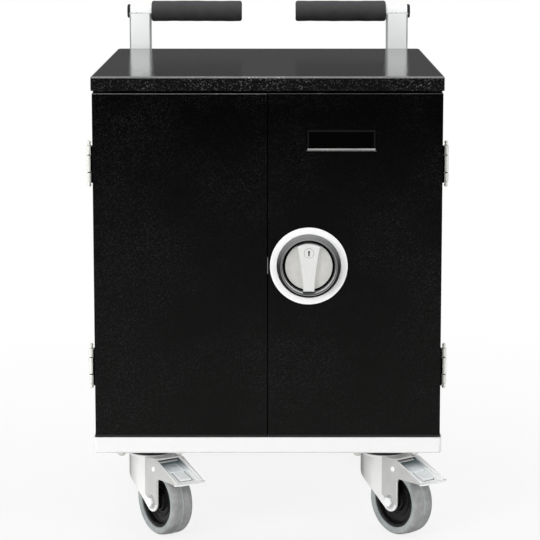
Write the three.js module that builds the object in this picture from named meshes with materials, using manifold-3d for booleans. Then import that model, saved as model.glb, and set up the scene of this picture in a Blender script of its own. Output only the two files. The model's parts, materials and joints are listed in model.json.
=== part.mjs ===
// Laptop charging cart: a folded-steel cabinet on a base tray with four castors, two doors, a rod lock,
// two push handles and racks for laptops inside.
// Millimetres, +Z up. The floor is z = 0, x = 0 is the middle, and the doors face -Y.

import * as THREE from 'three';
import { mergeVertices } from 'three/addons/utils/BufferGeometryUtils.js';
import Module from 'manifold-3d';

const wasm = await Module();
wasm.setup();

// Fits
const SEAT_GAP = 0.3; // between pieces that rest against each other
const RUNNING_GAP = 0.4; // between pieces that turn or slide in each other
const SHEET = 1.5; // folded steel of the cabinet
const PAST = 1; // how far a cut, or one half of a joined piece, reaches past the other's face

// Castors
const WHEEL_RADIUS = 52;
const WHEEL_WIDTH = 35;
const TYRE_THICKNESS = 12;
const TYRE_SHOULDER = 2.5;
const TYRE_CROWN = 1; // fall of the tread towards the shoulder
const TYRE_BEAD = 3; // height of the bevel beside the hub
const TYRE_SIDES = 26;
const HUB_RIM_INSET = 2.5;
const HUB_RIM_WALL = 4;
const HUB_WEB_HALF = 6;
const HUB_BOSS_RADIUS = 13;
const HUB_SIDES = 16;
const HUB_BOSS_FOOT = 2; // how far the boss spreads where it meets the web
const AXLE_RADIUS = 5;
const AXLE_HEAD_RADIUS = 8.5;
const AXLE_HEAD_HEIGHT = 5.5;
const FORK_SHEET = 3;
const FORK_SIDE_GAP = 3.3; // between the tyre's side and a fork leg
const FORK_TIP_RADIUS = 15;
const FORK_LEG_FRONT = 15; // from the axle to the leg's front edge
const FORK_ARCH_RADIUS = 7;
const FORK_TIP_END = -127; // degrees round the axle where the tip runs into the sloping back
const FORK_BACK_REACH = 18; // from the kingpin to the middle of the rounded back
const FORK_BACK_DEPTH = 25; // of the back below the crown's top
const CROWN_GAP = 11.5; // between the tyre and the crown
const CROWN_REACH = 50;
const CASTOR_TRAIL = 38; // from the kingpin to the axle
const ARM_REACH = 105;
const ARM_DROP = 28; // from the crown's top to the arm's lower edge
const ARM_NOSE = 3;
const KINGPIN_RADIUS = 6;
const KINGPIN_NUT_RADIUS = 9.5;
const KINGPIN_NUT_HEIGHT = 7;
const BEARING_RADIUS = 31;
const BEARING_NECK_RADIUS = 27;
const BEARING_SKIRT_HEIGHT = 8;
const BEARING_EDGE = 2;
const BEARING_SIDES = 20;
const PIN_SIDES = 12; // round the kingpin, the axle and the brake pin
const BEARING_HEIGHT = 12.3;
const PLATE_LENGTH = 105;
const PLATE_WIDTH = 102;
const PLATE_THICKNESS = 3;
const PLATE_CORNER = 6;
const PLATE_BOLT_X = 84;
const PLATE_BOLT_Y = 80;
const PLATE_BOLT_HOLE = 4.5;
const CASTOR_INSET_X = 80.3; // from the tray's side to the kingpin
const CASTOR_INSET_Y = 80; // from the tray's front or back to the kingpin
const FRONT_LEFT_HEADING = -55; // degrees from +X to the trailing wheel
const FRONT_RIGHT_HEADING = -50;
const REAR_LEFT_HEADING = 96;
const REAR_RIGHT_HEADING = 84;

// Brake pedals on the front castors
const PEDAL_PIVOT_REACH = 45; // ahead of the kingpin
const PEDAL_PIVOT_DROP = 7.5; // below the crown's top
const PEDAL_PIN_RADIUS = 2.5;
const PEDAL_PIN_STAND = 1.2; // how far the pin stands out of the fork
const PEDAL_SLOPE = 19.5; // degrees below level
const PEDAL_SHEET = 3;
const PEDAL_TAIL = 5;
const PEDAL_LIP_GAP = 2; // clears the arm ends as the pedal tips
const PEDAL_LIP_LENGTH = 11;
const PEDAL_LIP_HALF_WIDTH = 27;
const PEDAL_LIP_BULGE = 1.6; // pull of the lip's rounded front, in lip lengths
const PEDAL_LIP_FLARE = 1; // length over which the neck widens into the lip
const PEDAL_BOSS_HEIGHT = 2.5;
const PEDAL_BOSS_HALF_WIDTH = 9;
const PEDAL_BOSS_START = 14;
const PEDAL_BOSS_LENGTH = 33;

// Cabinet
const CABINET_DEPTH = 600;
const CABINET_WIDTH = 507; // over the side panels
const CORNER_RADIUS = 8; // back corners
const FRONT_CORNER_RADIUS = 6;
const EDGE_LIMIT = 0.8; // largest rounded edge, as a share of the corner it runs round
const BASE_OVERHANG = 2.8; // of the tray past each side panel
const BASE_HEIGHT = 24.5;
const BASE_EDGE_RADIUS = 4;
const FLOOR_RIB_Y = 300; // of the floor's middle rib, behind the front
const LID_OVERHANG = 2; // of the lid past each side panel
const LID_HEIGHT = 21;
const LID_EDGE_RADIUS = 2.5;
const SIDE_FLANGE = 20; // face frame beside the doors
const BACK_RETURN = 14; // of the back panel round each corner

// Vents: rows of long slots
const VENT_WIDTH = 6;
const ROUND_END = 0.05; // flat left in the middle of a slot's round end
const VENT_PITCH = 15;
const SIDE_VENT_LENGTH = 130;
const SIDE_VENT_ROWS = 4;
const SIDE_VENT_FROM_BACK = 120; // to the middle of the slots
const VENT_EDGE = 70; // from the panel's end to the outermost slot
const BACK_VENT_LENGTH = 110;
const BACK_VENT_ROWS = 4;
const BACK_VENT_SPACING = 190; // between the two columns

// Doors
const DOOR_HEIGHT = 505;
const DOOR_DEPTH = 22;
const DOOR_SPLIT = 1.4; // gap between the two doors
const DOOR_SEAM = 1; // gap behind the doors
const DOOR_GAP_BELOW = 2.3;
const DOOR_GAP_ABOVE = 3.6;
const DOOR_LIP = 12; // folded lip round the door's open back
const PLATE_RECESS_X = 56; // left end of the bare recess for a name plate
const PLATE_RECESS_LENGTH = 101.5;
const PLATE_RECESS_BELOW_TOP = 51;
const PLATE_RECESS_HEIGHT = 32;
const PLATE_RECESS_DEPTH = 0.8;

// Hinges on the cabinet's sides
const HINGE_OUT = 6.5; // from the side panel to the pin
const HINGE_BARREL_RADIUS = 3.85;
const HINGE_SIDES = 12;
const HINGE_PIN_RADIUS = 2.2;
const HINGE_END_KNUCKLE = 13.5;
const HINGE_MIDDLE_KNUCKLE = 25.5;
const HINGE_LEAF = 2;
const HINGE_LEAF_REACH = 20;
const HINGE_WEB = 3.5;
const HINGE_TIP = 8; // of the pin past the barrel
const HINGE_TIP_RADIUS = 3;
const HINGE_TIP_SHOULDER = [0.8, 0.3]; // of the tip's radius: across, and back from the end
const HINGE_LOW = 101; // from the doors' lower edge to the lower hinge
const HINGE_HIGH = 401;

// Lock on the right door
const LOCK_X = 60;
const LOCK_ABOVE_DOOR_BOTTOM = 253.7;
const LOCK_RING_RADIUS = 56.6;
const LOCK_RING_BORE = 46.6;
const LOCK_RING_THICKNESS = 3;
const LOCK_RING_CHAMFER = 1;
const LOCK_SIDES = 32;
const COLLAR_PROUD = 20;
const COLLAR_RIM_RADIUS = 41.7;
const COLLAR_RIM_WIDTH = 1.5;
const COLLAR_RIM_INSIDE = [1, 2]; // across and down, on the rim's inner side
const COLLAR_BORE = 36.2;
const KNOB_RADIUS = 34.6;
const KNOB_PROUD = 5;
const KNOB_THICKNESS = 4;
const KNOB_CHAMFER = 0.6;
const KNOB_BAR_HEIGHT = 9;
const KNOB_BAR_WIDE = 34;
const KNOB_BAR_NARROW = 16;
const KNOB_SHAFT_RADIUS = 4.5;
const SHAFT_SIDES = 20;
const KEY_OFFSET = 20.5; // above the knob's centre
const KEY_RADIUS = 8;
const KEY_SIDES = 24;
const KEY_DEPTH = 8;
const KEY_STAND = 0.6;
const KEYHOLE_WIDTH = 2;
const KEYHOLE_LENGTH = 8;
const KEYHOLE_DEPTH = 5;

// Rack and pinion that drives the two locking rods
const GEAR_MODULE = 1.5;
const GEAR_TEETH = 12;
const GEAR_PRESSURE = 25; // degrees
const GEAR_ADDENDUM = 1.3;
const GEAR_DEDENDUM = 1.9;
const GEAR_BACKLASH = 0.3;
const GEAR_THICKNESS = 5;
const ROD_WIDTH = 10;
const ROD_THICKNESS = 4;
const ROD_BEHIND_DOOR = 6; // from the door's front face to the rod
const ROD_TAIL_TEETH = 5; // teeth that pass the pinion as the rod runs out
const ROD_LEAD_TEETH = 2;
const ROD_RECESS = 1; // of the rod's tip inside the door at rest
const CASE_HEIGHT = 70;
const CASE_WALL = 2;

// Handles at the back
const UPRIGHT_WIDTH = 36;
const UPRIGHT_DEPTH = 35;
const UPRIGHT_WALL = 2;
const UPRIGHT_CORNER = 4;
const UPRIGHT_OUTER_X = 235.5;
const UPRIGHT_LENGTH = 320;
const TUBE_RADIUS = 11;
const TUBE_WALL = 2;
const TUBE_SIDES = 24;
const TUBE_ABOVE_LID = 62.5;
const TUBE_SADDLE = 7; // how deep the upright's top reaches into the tube
const TUBE_OUTER_X = 236;
const TUBE_INNER_X = 45.5;
const GRIP_RADIUS = 17.5;
const GRIP_LENGTH = 153;
const GRIP_ROUND = 4;
const GRIP_SIDES = 20;

// Racks, shelf and power inside
const SHELF_ABOVE_FLOOR = 254;
const SHELF_LIP = 20;
const SHELF_SET_BACK = 8; // behind the face frame
const CABLE_SPACE = 110; // between the shelf and the back panel
const SLOT_COUNT = 8;
const SLOT_PITCH = 55;
const DIVIDER_THICKNESS = 2;
const DIVIDER_HEIGHT = 180;
const DIVIDER_DEPTH = 330;
const DIVIDER_ROUND = 45;
const DIVIDER_BASE = 2;
const RACK_SET_BACK = 25; // behind the face frame
const STRIP_LENGTH = 420;
const STRIP_HEIGHT = 52;
const STRIP_DEPTH = 42;
const STRIP_BELOW_LID = 70;
const SOCKET_COUNT = 6;
const SOCKET_PITCH = 66;
const SOCKET_RADIUS = 19;
const SOCKET_DEPTH = 12;
const SOCKET_SIDES = 16;
const INLET_X = -150;
const INLET_ABOVE_BASE = 55;
const INLET_WIDTH = 28;
const INLET_HEIGHT = 20;
const INLET_FLANGE = 6; // round the inlet's body
const INLET_FLANGE_THICKNESS = 3;
const INLET_DEPTH = 26;
const INLET_WALL = 2.5;
const INLET_RECESS = 15;
const INLET_PIN = [2, 4]; // width and height of a contact
const INLET_PIN_PITCH = 7;
const INLET_PIN_SET_BACK = 7; // of the contacts behind the inlet's mouth

// Levels, from the floor up
const AXLE_Z = WHEEL_RADIUS;
const CROWN_BOTTOM = 2 * WHEEL_RADIUS + CROWN_GAP;
const CROWN_TOP = CROWN_BOTTOM + FORK_SHEET;
const PLATE_BOTTOM = CROWN_TOP + RUNNING_GAP + BEARING_HEIGHT;
const BASE_BOTTOM = PLATE_BOTTOM + PLATE_THICKNESS + SEAT_GAP;
const BASE_TOP = BASE_BOTTOM + BASE_HEIGHT;
const TRAY_FLOOR = BASE_BOTTOM + SHEET;
const DOOR_BOTTOM = BASE_TOP + DOOR_GAP_BELOW;
const DOOR_TOP = DOOR_BOTTOM + DOOR_HEIGHT;
const LID_BOTTOM = DOOR_TOP + DOOR_GAP_ABOVE;
const LID_TOP = LID_BOTTOM + LID_HEIGHT;
const TUBE_Z = LID_TOP + TUBE_ABOVE_LID;
const LOCK_Z = DOOR_BOTTOM + LOCK_ABOVE_DOOR_BOTTOM;
const SHELF_Z = BASE_TOP + SHELF_ABOVE_FLOOR;

// Widths and depths, with the overall depth centred on y = 0
const SIDE_X = CABINET_WIDTH / 2;
const BASE_X = SIDE_X + BASE_OVERHANG;
const LID_X = SIDE_X + LID_OVERHANG;
const INNER_X = SIDE_X - SHEET - SEAT_GAP;
const FRONT_Y = (COLLAR_PROUD - CABINET_DEPTH - SEAT_GAP - UPRIGHT_DEPTH) / 2;
const BACK_Y = FRONT_Y + CABINET_DEPTH;
const FRAME_Y = FRONT_Y + DOOR_DEPTH + DOOR_SEAM;
const HINGE_X = SIDE_X + HINGE_OUT;
const HINGE_Y = FRONT_Y + DOOR_DEPTH + DOOR_SEAM / 2;
const UPRIGHT_Y = BACK_Y + SEAT_GAP + UPRIGHT_DEPTH / 2;

// Castor sizes that follow from the wheel
const FORK_INNER = WHEEL_WIDTH / 2 + FORK_SIDE_GAP;
const FORK_OUTER = FORK_INNER + FORK_SHEET;
const ARM_BOTTOM = CROWN_TOP - ARM_DROP;
const PEDAL_PIVOT_Z = CROWN_TOP - PEDAL_PIVOT_DROP;
const HUB_RADIUS = WHEEL_RADIUS - TYRE_THICKNESS;

// Lock sizes that follow from the gear
const PITCH_RADIUS = (GEAR_MODULE * GEAR_TEETH) / 2;
const RACK_PITCH = Math.PI * GEAR_MODULE;
const ROD_INNER = PITCH_RADIUS + GEAR_DEDENDUM;
const ROD_CENTRE = ROD_INNER + ROD_WIDTH / 2;
const ROD_Y = [FRONT_Y + ROD_BEHIND_DOOR, FRONT_Y + ROD_BEHIND_DOOR + ROD_THICKNESS];
const CASE_INNER_X = ROD_INNER + ROD_WIDTH + RUNNING_GAP;
const CASE_BACK_Y = ROD_Y[0] + GEAR_THICKNESS + RUNNING_GAP;

const radians = THREE.MathUtils.degToRad;
const finish = (color, roughness, metalness) => (
  new THREE.MeshStandardMaterial({ color, roughness, metalness })
);
const blackPaint = finish(0x141414, 0.55, 0);
const whitePaint = finish(0xf2f2f0, 0.4, 0);
const zinc = finish(0xd4d8d6, 0.35, 1);
const steel = finish(0xc9c7c2, 0.3, 1);
const collarGrey = finish(0x8b8d8e, 0.35, 0.6);
const blackPlastic = finish(0x18181a, 0.45, 0);
const foam = finish(0x48484a, 0.95, 0);
const tyreRubber = finish(0x929595, 0.8, 0);
const rackPlastic = finish(0x3a3c3f, 0.6, 0);

// Closed geometry to a solid that can be joined and cut, with its faces turned outwards.
function toSolid(geometry) {
  const bare = geometry.clone();
  bare.deleteAttribute('normal');
  bare.deleteAttribute('uv');
  const merged = mergeVertices(bare, 1e-4);
  const corners = merged.attributes.position;
  const kept = [];
  let volume = 0;
  const [a, b, c] = [new THREE.Vector3(), new THREE.Vector3(), new THREE.Vector3()];
  for (let i = 0; i < merged.index.count; i += 3) {
    const [p, q, r] = [0, 1, 2].map((k) => merged.index.getX(i + k));
    if (p === q || q === r || r === p) continue;
    kept.push([p, q, r]);
    a.fromBufferAttribute(corners, p);
    b.fromBufferAttribute(corners, q);
    c.fromBufferAttribute(corners, r);
    volume += a.dot(b.cross(c));
  }
  const facing = volume < 0 ? kept.map(([p, q, r]) => [p, r, q]) : kept;
  const mesh = new wasm.Mesh({
    numProp: 3,
    vertProperties: new Float32Array(corners.array),
    triVerts: new Uint32Array(facing.flat()),
  });
  return new wasm.Manifold(mesh);
}

function toGeometry(solid) {
  const mesh = solid.getMesh();
  const geometry = new THREE.BufferGeometry();
  geometry.setAttribute('position', new THREE.BufferAttribute(mesh.vertProperties, 3));
  geometry.setIndex(new THREE.BufferAttribute(mesh.triVerts, 1));
  geometry.computeVertexNormals();
  return geometry;
}

const join = (...solids) => solids.reduce((whole, solid) => whole.add(solid));
const cut = (solid, ...tools) => tools.reduce((rest, tool) => rest.subtract(tool), solid);

// The same solid on the other side of x = 0.
function mirrored(solid) {
  return toSolid(toGeometry(solid).scale(-1, 1, 1));
}

// Turns geometry made along Z, X right and Y up, so that it runs along the named axis.
function along(axis, geometry) {
  if (axis === 'x') return geometry.rotateX(Math.PI / 2).rotateZ(Math.PI / 2);
  if (axis === 'y') return geometry.rotateX(Math.PI / 2);
  return geometry;
}

function box([x0, x1], [y0, y1], [z0, z1]) {
  const geometry = new THREE.BoxGeometry(x1 - x0, y1 - y0, z1 - z0);
  return toSolid(geometry.translate((x0 + x1) / 2, (y0 + y1) / 2, (z0 + z1) / 2));
}

// A flat outline pushed along an axis. Its plane is (x, y) along z, (x, z) along y and (y, z) along x.
function extrude(shape, axis, [from, to], curveSegments = 6) {
  const depth = to - from;
  const geometry = new THREE.ExtrudeGeometry(shape, { depth, bevelEnabled: false, curveSegments });
  along(axis, geometry);
  if (axis === 'x') geometry.translate(from, 0, 0);
  if (axis === 'y') geometry.translate(0, to, 0);
  if (axis === 'z') geometry.translate(0, 0, from);
  return toSolid(geometry);
}

const outline = (points) => new THREE.Shape(points.map(([u, v]) => new THREE.Vector2(u, v)));

// Rectangle whose two corners at low v and two at high v have their own radii.
function roundedRectangle([u0, u1], [v0, v1], lowRadius, highRadius = lowRadius) {
  const shape = new THREE.Shape();
  shape.absarc(u1 - lowRadius, v0 + lowRadius, lowRadius, -Math.PI / 2, 0);
  shape.absarc(u1 - highRadius, v1 - highRadius, highRadius, 0, Math.PI / 2);
  shape.absarc(u0 + highRadius, v1 - highRadius, highRadius, Math.PI / 2, Math.PI);
  shape.absarc(u0 + lowRadius, v0 + lowRadius, lowRadius, Math.PI, Math.PI * 1.5);
  return shape;
}

// A profile of [radius, distance along the axis] turned round an axis through the given point.
function turned(profile, axis, [x, y, z], sides, start = 0) {
  const points = [...profile, profile[0]].map(([r, t]) => new THREE.Vector2(r, t));
  const geometry = new THREE.LatheGeometry(points, sides, start);
  if (axis === 'x') geometry.rotateZ(-Math.PI / 2);
  if (axis === 'z') geometry.rotateX(Math.PI / 2);
  return toSolid(geometry.translate(x, y, z));
}

function cylinder(axis, [x, y, z], radius, [from, to], sides) {
  return turned([[0, from], [radius, from], [radius, to], [0, to]], axis, [x, y, z], sides);
}

// Round-ended slots cut through a panel: u along the slot, v across it.
function ventSlots(axis, through, [uCentre, length], vFirst, rows) {
  const u = [uCentre - length / 2, uCentre + length / 2];
  const half = VENT_WIDTH / 2;
  const slots = [];
  for (let row = 0; row < rows; row += 1) {
    const v = vFirst + row * VENT_PITCH;
    const slot = roundedRectangle(u, [v - half, v + half], half - ROUND_END);
    slots.push(extrude(slot, axis, through, 1));
  }
  return slots;
}

// Plan of the cabinet with a rounded back, drawn in by an inset.
const cabinetPlan = (halfWidth, inset) => roundedRectangle(
  [inset - halfWidth, halfWidth - inset],
  [FRONT_Y + inset, BACK_Y - inset],
  Math.max(FRONT_CORNER_RADIUS - inset, 1),
  CORNER_RADIUS - inset,
);

// Block on a plan whose edge is rounded on its lower side, or on its upper side.
function roundedBlock(shape, [bottom, top], edgeRadius, side) {
  const radius = Math.min(edgeRadius, EDGE_LIMIT * FRONT_CORNER_RADIUS, EDGE_LIMIT * CORNER_RADIUS);
  const geometry = new THREE.ExtrudeGeometry(shape, {
    depth: top - bottom - radius,
    bevelThickness: radius,
    bevelSize: radius,
    bevelOffset: -radius,
    bevelSegments: 3,
    curveSegments: 2,
  });
  const whole = toSolid(geometry.translate(0, 0, side === 'lower' ? bottom + radius : bottom));
  const wide = [-CABINET_DEPTH, CABINET_DEPTH];
  const spare = side === 'lower' ? [top, top + 2 * radius] : [bottom - 2 * radius, bottom];
  return cut(whole, box(wide, wide, spare));
}

// Slot that a locking rod runs through: side +1 is the upper rod, -1 the lower.
function rodSlot(side, [z0, z1]) {
  const x = LOCK_X + side * ROD_CENTRE;
  const half = ROD_WIDTH / 2 + RUNNING_GAP;
  return box([x - half, x + half], [ROD_Y[0] - RUNNING_GAP, ROD_Y[1] + RUNNING_GAP], [z0, z1]);
}

// White pan that the castors bolt to. Its front edge is folded in and takes the lower rod.
function baseTray() {
  const pan = roundedBlock(cabinetPlan(BASE_X, 0), [BASE_BOTTOM, BASE_TOP], BASE_EDGE_RADIUS, 'lower');
  const hollow = extrude(cabinetPlan(BASE_X, SHEET), 'z', [TRAY_FLOOR, BASE_TOP + PAST], 2);
  const lip = box(
    [-BASE_X + CORNER_RADIUS, BASE_X - CORNER_RADIUS],
    [FRONT_Y + SHEET / 2, FRONT_Y + DOOR_DEPTH],
    [BASE_TOP - SHEET, BASE_TOP],
  );
  return cut(join(cut(pan, hollow), lip), rodSlot(-1, [BASE_TOP - 2 * SHEET, BASE_TOP + PAST]));
}

// Cabinet floor, carried on ribs that stand in the tray.
function floorPanel() {
  const front = FRAME_Y + SHEET + SEAT_GAP;
  const back = BACK_Y - BACK_RETURN - SEAT_GAP;
  const wide = [-INNER_X, INNER_X];
  const ribZ = [TRAY_FLOOR + SEAT_GAP, BASE_TOP - SHEET / 2];
  const ribs = [front, FRONT_Y + FLOOR_RIB_Y, back - SHEET].map((y) => box(wide, [y, y + SHEET], ribZ));
  return join(box(wide, [front, back], [BASE_TOP - SHEET, BASE_TOP]), ...ribs);
}

// Side panel with its face-frame flange. It stands in the tray and reaches up into the lid.
function sidePanel() {
  const height = [TRAY_FLOOR + SEAT_GAP, LID_TOP - SHEET - SEAT_GAP];
  const back = BACK_Y - BACK_RETURN - SEAT_GAP;
  const skin = box([SIDE_X - SHEET, SIDE_X], [FRAME_Y, back], height);
  const flange = box([SIDE_X - SIDE_FLANGE, SIDE_X], [FRAME_Y, FRAME_Y + SHEET], height);
  const through = [SIDE_X - 2 * SHEET, SIDE_X + SHEET];
  const run = [BACK_Y - SIDE_VENT_FROM_BACK, SIDE_VENT_LENGTH];
  const span = (SIDE_VENT_ROWS - 1) * VENT_PITCH;
  const low = ventSlots('x', through, run, DOOR_BOTTOM + VENT_EDGE, SIDE_VENT_ROWS);
  const high = ventSlots('x', through, run, DOOR_TOP - VENT_EDGE - span, SIDE_VENT_ROWS);
  return cut(join(skin, flange), ...low, ...high);
}

// Back panel, folded round both back corners, with vents and the hole for the power inlet.
function backPanel() {
  const height = [BASE_TOP + SEAT_GAP, LID_BOTTOM - SEAT_GAP];
  const past = [height[0] - PAST, height[1] + PAST];
  const shell = cut(
    extrude(cabinetPlan(SIDE_X, 0), 'z', height, 2),
    extrude(cabinetPlan(SIDE_X, SHEET), 'z', past, 2),
    box([-SIDE_X - PAST, SIDE_X + PAST], [FRONT_Y - PAST, BACK_Y - BACK_RETURN], past),
  );
  const through = [BACK_Y - 2 * SHEET, BACK_Y + SHEET];
  const span = (BACK_VENT_ROWS - 1) * VENT_PITCH;
  const columns = [-BACK_VENT_SPACING / 2, BACK_VENT_SPACING / 2].flatMap((x) => [
    ...ventSlots('y', through, [x, BACK_VENT_LENGTH], height[0] + VENT_EDGE, BACK_VENT_ROWS),
    ...ventSlots('y', through, [x, BACK_VENT_LENGTH], height[1] - VENT_EDGE - span, BACK_VENT_ROWS),
  ]);
  const inletZ = BASE_TOP + INLET_ABOVE_BASE;
  const [w, h] = [INLET_WIDTH / 2 + SEAT_GAP, INLET_HEIGHT / 2 + SEAT_GAP];
  const inletHole = box([INLET_X - w, INLET_X + w], through, [inletZ - h, inletZ + h]);
  return cut(shell, ...columns, inletHole);
}

// Lid with folded edges. A lip behind its front edge takes the upper rod.
function topLid() {
  const block = roundedBlock(cabinetPlan(LID_X, 0), [LID_BOTTOM, LID_TOP], LID_EDGE_RADIUS, 'upper');
  const hollow = extrude(cabinetPlan(LID_X, SHEET), 'z', [LID_BOTTOM - PAST, LID_TOP - SHEET], 2);
  const lip = box(
    [-LID_X + CORNER_RADIUS, LID_X - CORNER_RADIUS],
    [FRONT_Y + SHEET / 2, FRONT_Y + DOOR_DEPTH],
    [LID_BOTTOM, LID_BOTTOM + SHEET],
  );
  return cut(join(cut(block, hollow), lip), rodSlot(1, [LID_BOTTOM - PAST, LID_BOTTOM + 2 * SHEET]));
}

// A door is a pan, open at the back inside a folded lip. This is the right one, before its lock is cut in.
function doorPan() {
  const x = [DOOR_SPLIT / 2, SIDE_X];
  const y = [FRONT_Y, FRONT_Y + DOOR_DEPTH];
  const z = [DOOR_BOTTOM, DOOR_TOP];
  const shrink = ([low, high], by) => [low + by, high - by];
  return cut(
    box(x, y, z),
    box(shrink(x, SHEET), shrink(y, SHEET), shrink(z, SHEET)),
    box(shrink(x, DOOR_LIP), [y[0] + 2 * SHEET, y[1] + PAST], shrink(z, DOOR_LIP)),
  );
}

function rightDoor() {
  const shaftHole = cylinder(
    'y',
    [LOCK_X, 0, LOCK_Z],
    KNOB_SHAFT_RADIUS + RUNNING_GAP,
    [FRONT_Y - PAST, FRONT_Y + 2 * SHEET],
    SHAFT_SIDES,
  );
  const recessTop = DOOR_TOP - PLATE_RECESS_BELOW_TOP;
  const recess = box(
    [PLATE_RECESS_X, PLATE_RECESS_X + PLATE_RECESS_LENGTH],
    [FRONT_Y - PAST, FRONT_Y + PLATE_RECESS_DEPTH],
    [recessTop - PLATE_RECESS_HEIGHT, recessTop],
  );
  const upperSlot = rodSlot(1, [DOOR_TOP - 2 * SHEET, DOOR_TOP + PAST]);
  const lowerSlot = rodSlot(-1, [DOOR_BOTTOM - PAST, DOOR_BOTTOM + 2 * SHEET]);
  return cut(doorPan(), shaftHole, recess, upperSlot, lowerSlot);
}

// Hinge pieces for the right side, at a height. The frame leaf holds the two end knuckles.
const HINGE_HALF = HINGE_MIDDLE_KNUCKLE / 2 + HINGE_END_KNUCKLE;
const HINGE_LEAF_X = [SIDE_X + SEAT_GAP, SIDE_X + SEAT_GAP + HINGE_LEAF];

function hingeKnuckle(z, span) {
  const bore = HINGE_PIN_RADIUS + SEAT_GAP;
  const ring = [
    [bore, span[0]], [HINGE_BARREL_RADIUS, span[0]], [HINGE_BARREL_RADIUS, span[1]], [bore, span[1]],
  ];
  return turned(ring, 'z', [HINGE_X, HINGE_Y, z], HINGE_SIDES);
}

// Short web from a leaf to its knuckle: side +1 runs back over the frame, -1 forward over the door.
function hingeWeb(z, span, side) {
  const y = [HINGE_Y, HINGE_Y + side * HINGE_WEB].sort((a, b) => a - b);
  const web = box([HINGE_LEAF_X[0], HINGE_X - HINGE_BARREL_RADIUS / 2], y, [z + span[0], z + span[1]]);
  const bore = HINGE_PIN_RADIUS + SEAT_GAP;
  return cut(web, cylinder('z', [HINGE_X, HINGE_Y, z], bore, [-HINGE_HALF, HINGE_HALF], HINGE_SIDES));
}

function frameLeaf(z) {
  const ends = [
    [-HINGE_HALF, -HINGE_MIDDLE_KNUCKLE / 2 - SEAT_GAP / 2],
    [HINGE_MIDDLE_KNUCKLE / 2 + SEAT_GAP / 2, HINGE_HALF],
  ];
  const leaf = box(
    HINGE_LEAF_X,
    [HINGE_Y + HINGE_WEB / 2, HINGE_Y + HINGE_LEAF_REACH],
    [z - HINGE_HALF, z + HINGE_HALF],
  );
  return join(leaf, ...ends.flatMap((span) => [hingeKnuckle(z, span), hingeWeb(z, span, 1)]));
}

function doorLeaf(z) {
  const middle = [(SEAT_GAP - HINGE_MIDDLE_KNUCKLE) / 2, (HINGE_MIDDLE_KNUCKLE - SEAT_GAP) / 2];
  const leaf = box(
    HINGE_LEAF_X,
    [HINGE_Y - HINGE_LEAF_REACH, HINGE_Y - HINGE_WEB / 2],
    [z - HINGE_HALF, z + HINGE_HALF],
  );
  return join(leaf, hingeKnuckle(z, middle), hingeWeb(z, middle, -1));
}

// Hinge pin with a rounded knob at each end.
function hingePin(z) {
  const end = HINGE_HALF + HINGE_TIP;
  const [across, back] = HINGE_TIP_SHOULDER.map((share) => share * HINGE_TIP_RADIUS);
  const half = [
    [HINGE_PIN_RADIUS, HINGE_HALF + HINGE_TIP_RADIUS],
    [HINGE_TIP_RADIUS, end - HINGE_TIP_RADIUS],
    [across, end - back],
    [0, end],
  ];
  const profile = [...half.map(([r, t]) => [r, -t]).reverse(), ...half];
  return turned(profile, 'z', [HINGE_X, HINGE_Y, z], 10);
}

// Lock pieces. Distances along the lock's axis are measured forward from the door's face.
const lockTurned = (profile, sides, z = LOCK_Z) => turned(
  profile.map(([r, proud]) => [r, FRONT_Y - proud]), 'y', [LOCK_X, 0, z], sides,
);

function lockRing() {
  const top = SEAT_GAP + LOCK_RING_THICKNESS;
  return lockTurned([
    [LOCK_RING_BORE, SEAT_GAP], [LOCK_RING_RADIUS, SEAT_GAP], [LOCK_RING_RADIUS, top - LOCK_RING_CHAMFER],
    [LOCK_RING_RADIUS - LOCK_RING_CHAMFER, top], [LOCK_RING_BORE, top],
  ], LOCK_SIDES);
}

function lockCollar() {
  const foot = LOCK_RING_BORE - SEAT_GAP;
  const rim = COLLAR_RIM_RADIUS - COLLAR_RIM_WIDTH;
  return lockTurned([
    [COLLAR_BORE, SEAT_GAP], [foot, SEAT_GAP], [foot, SEAT_GAP + LOCK_RING_THICKNESS],
    [COLLAR_RIM_RADIUS, COLLAR_PROUD], [rim, COLLAR_PROUD],
    [rim - COLLAR_RIM_INSIDE[0], COLLAR_PROUD - COLLAR_RIM_INSIDE[1]],
    [COLLAR_BORE, KNOB_PROUD - KNOB_THICKNESS],
  ], LOCK_SIDES);
}

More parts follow.
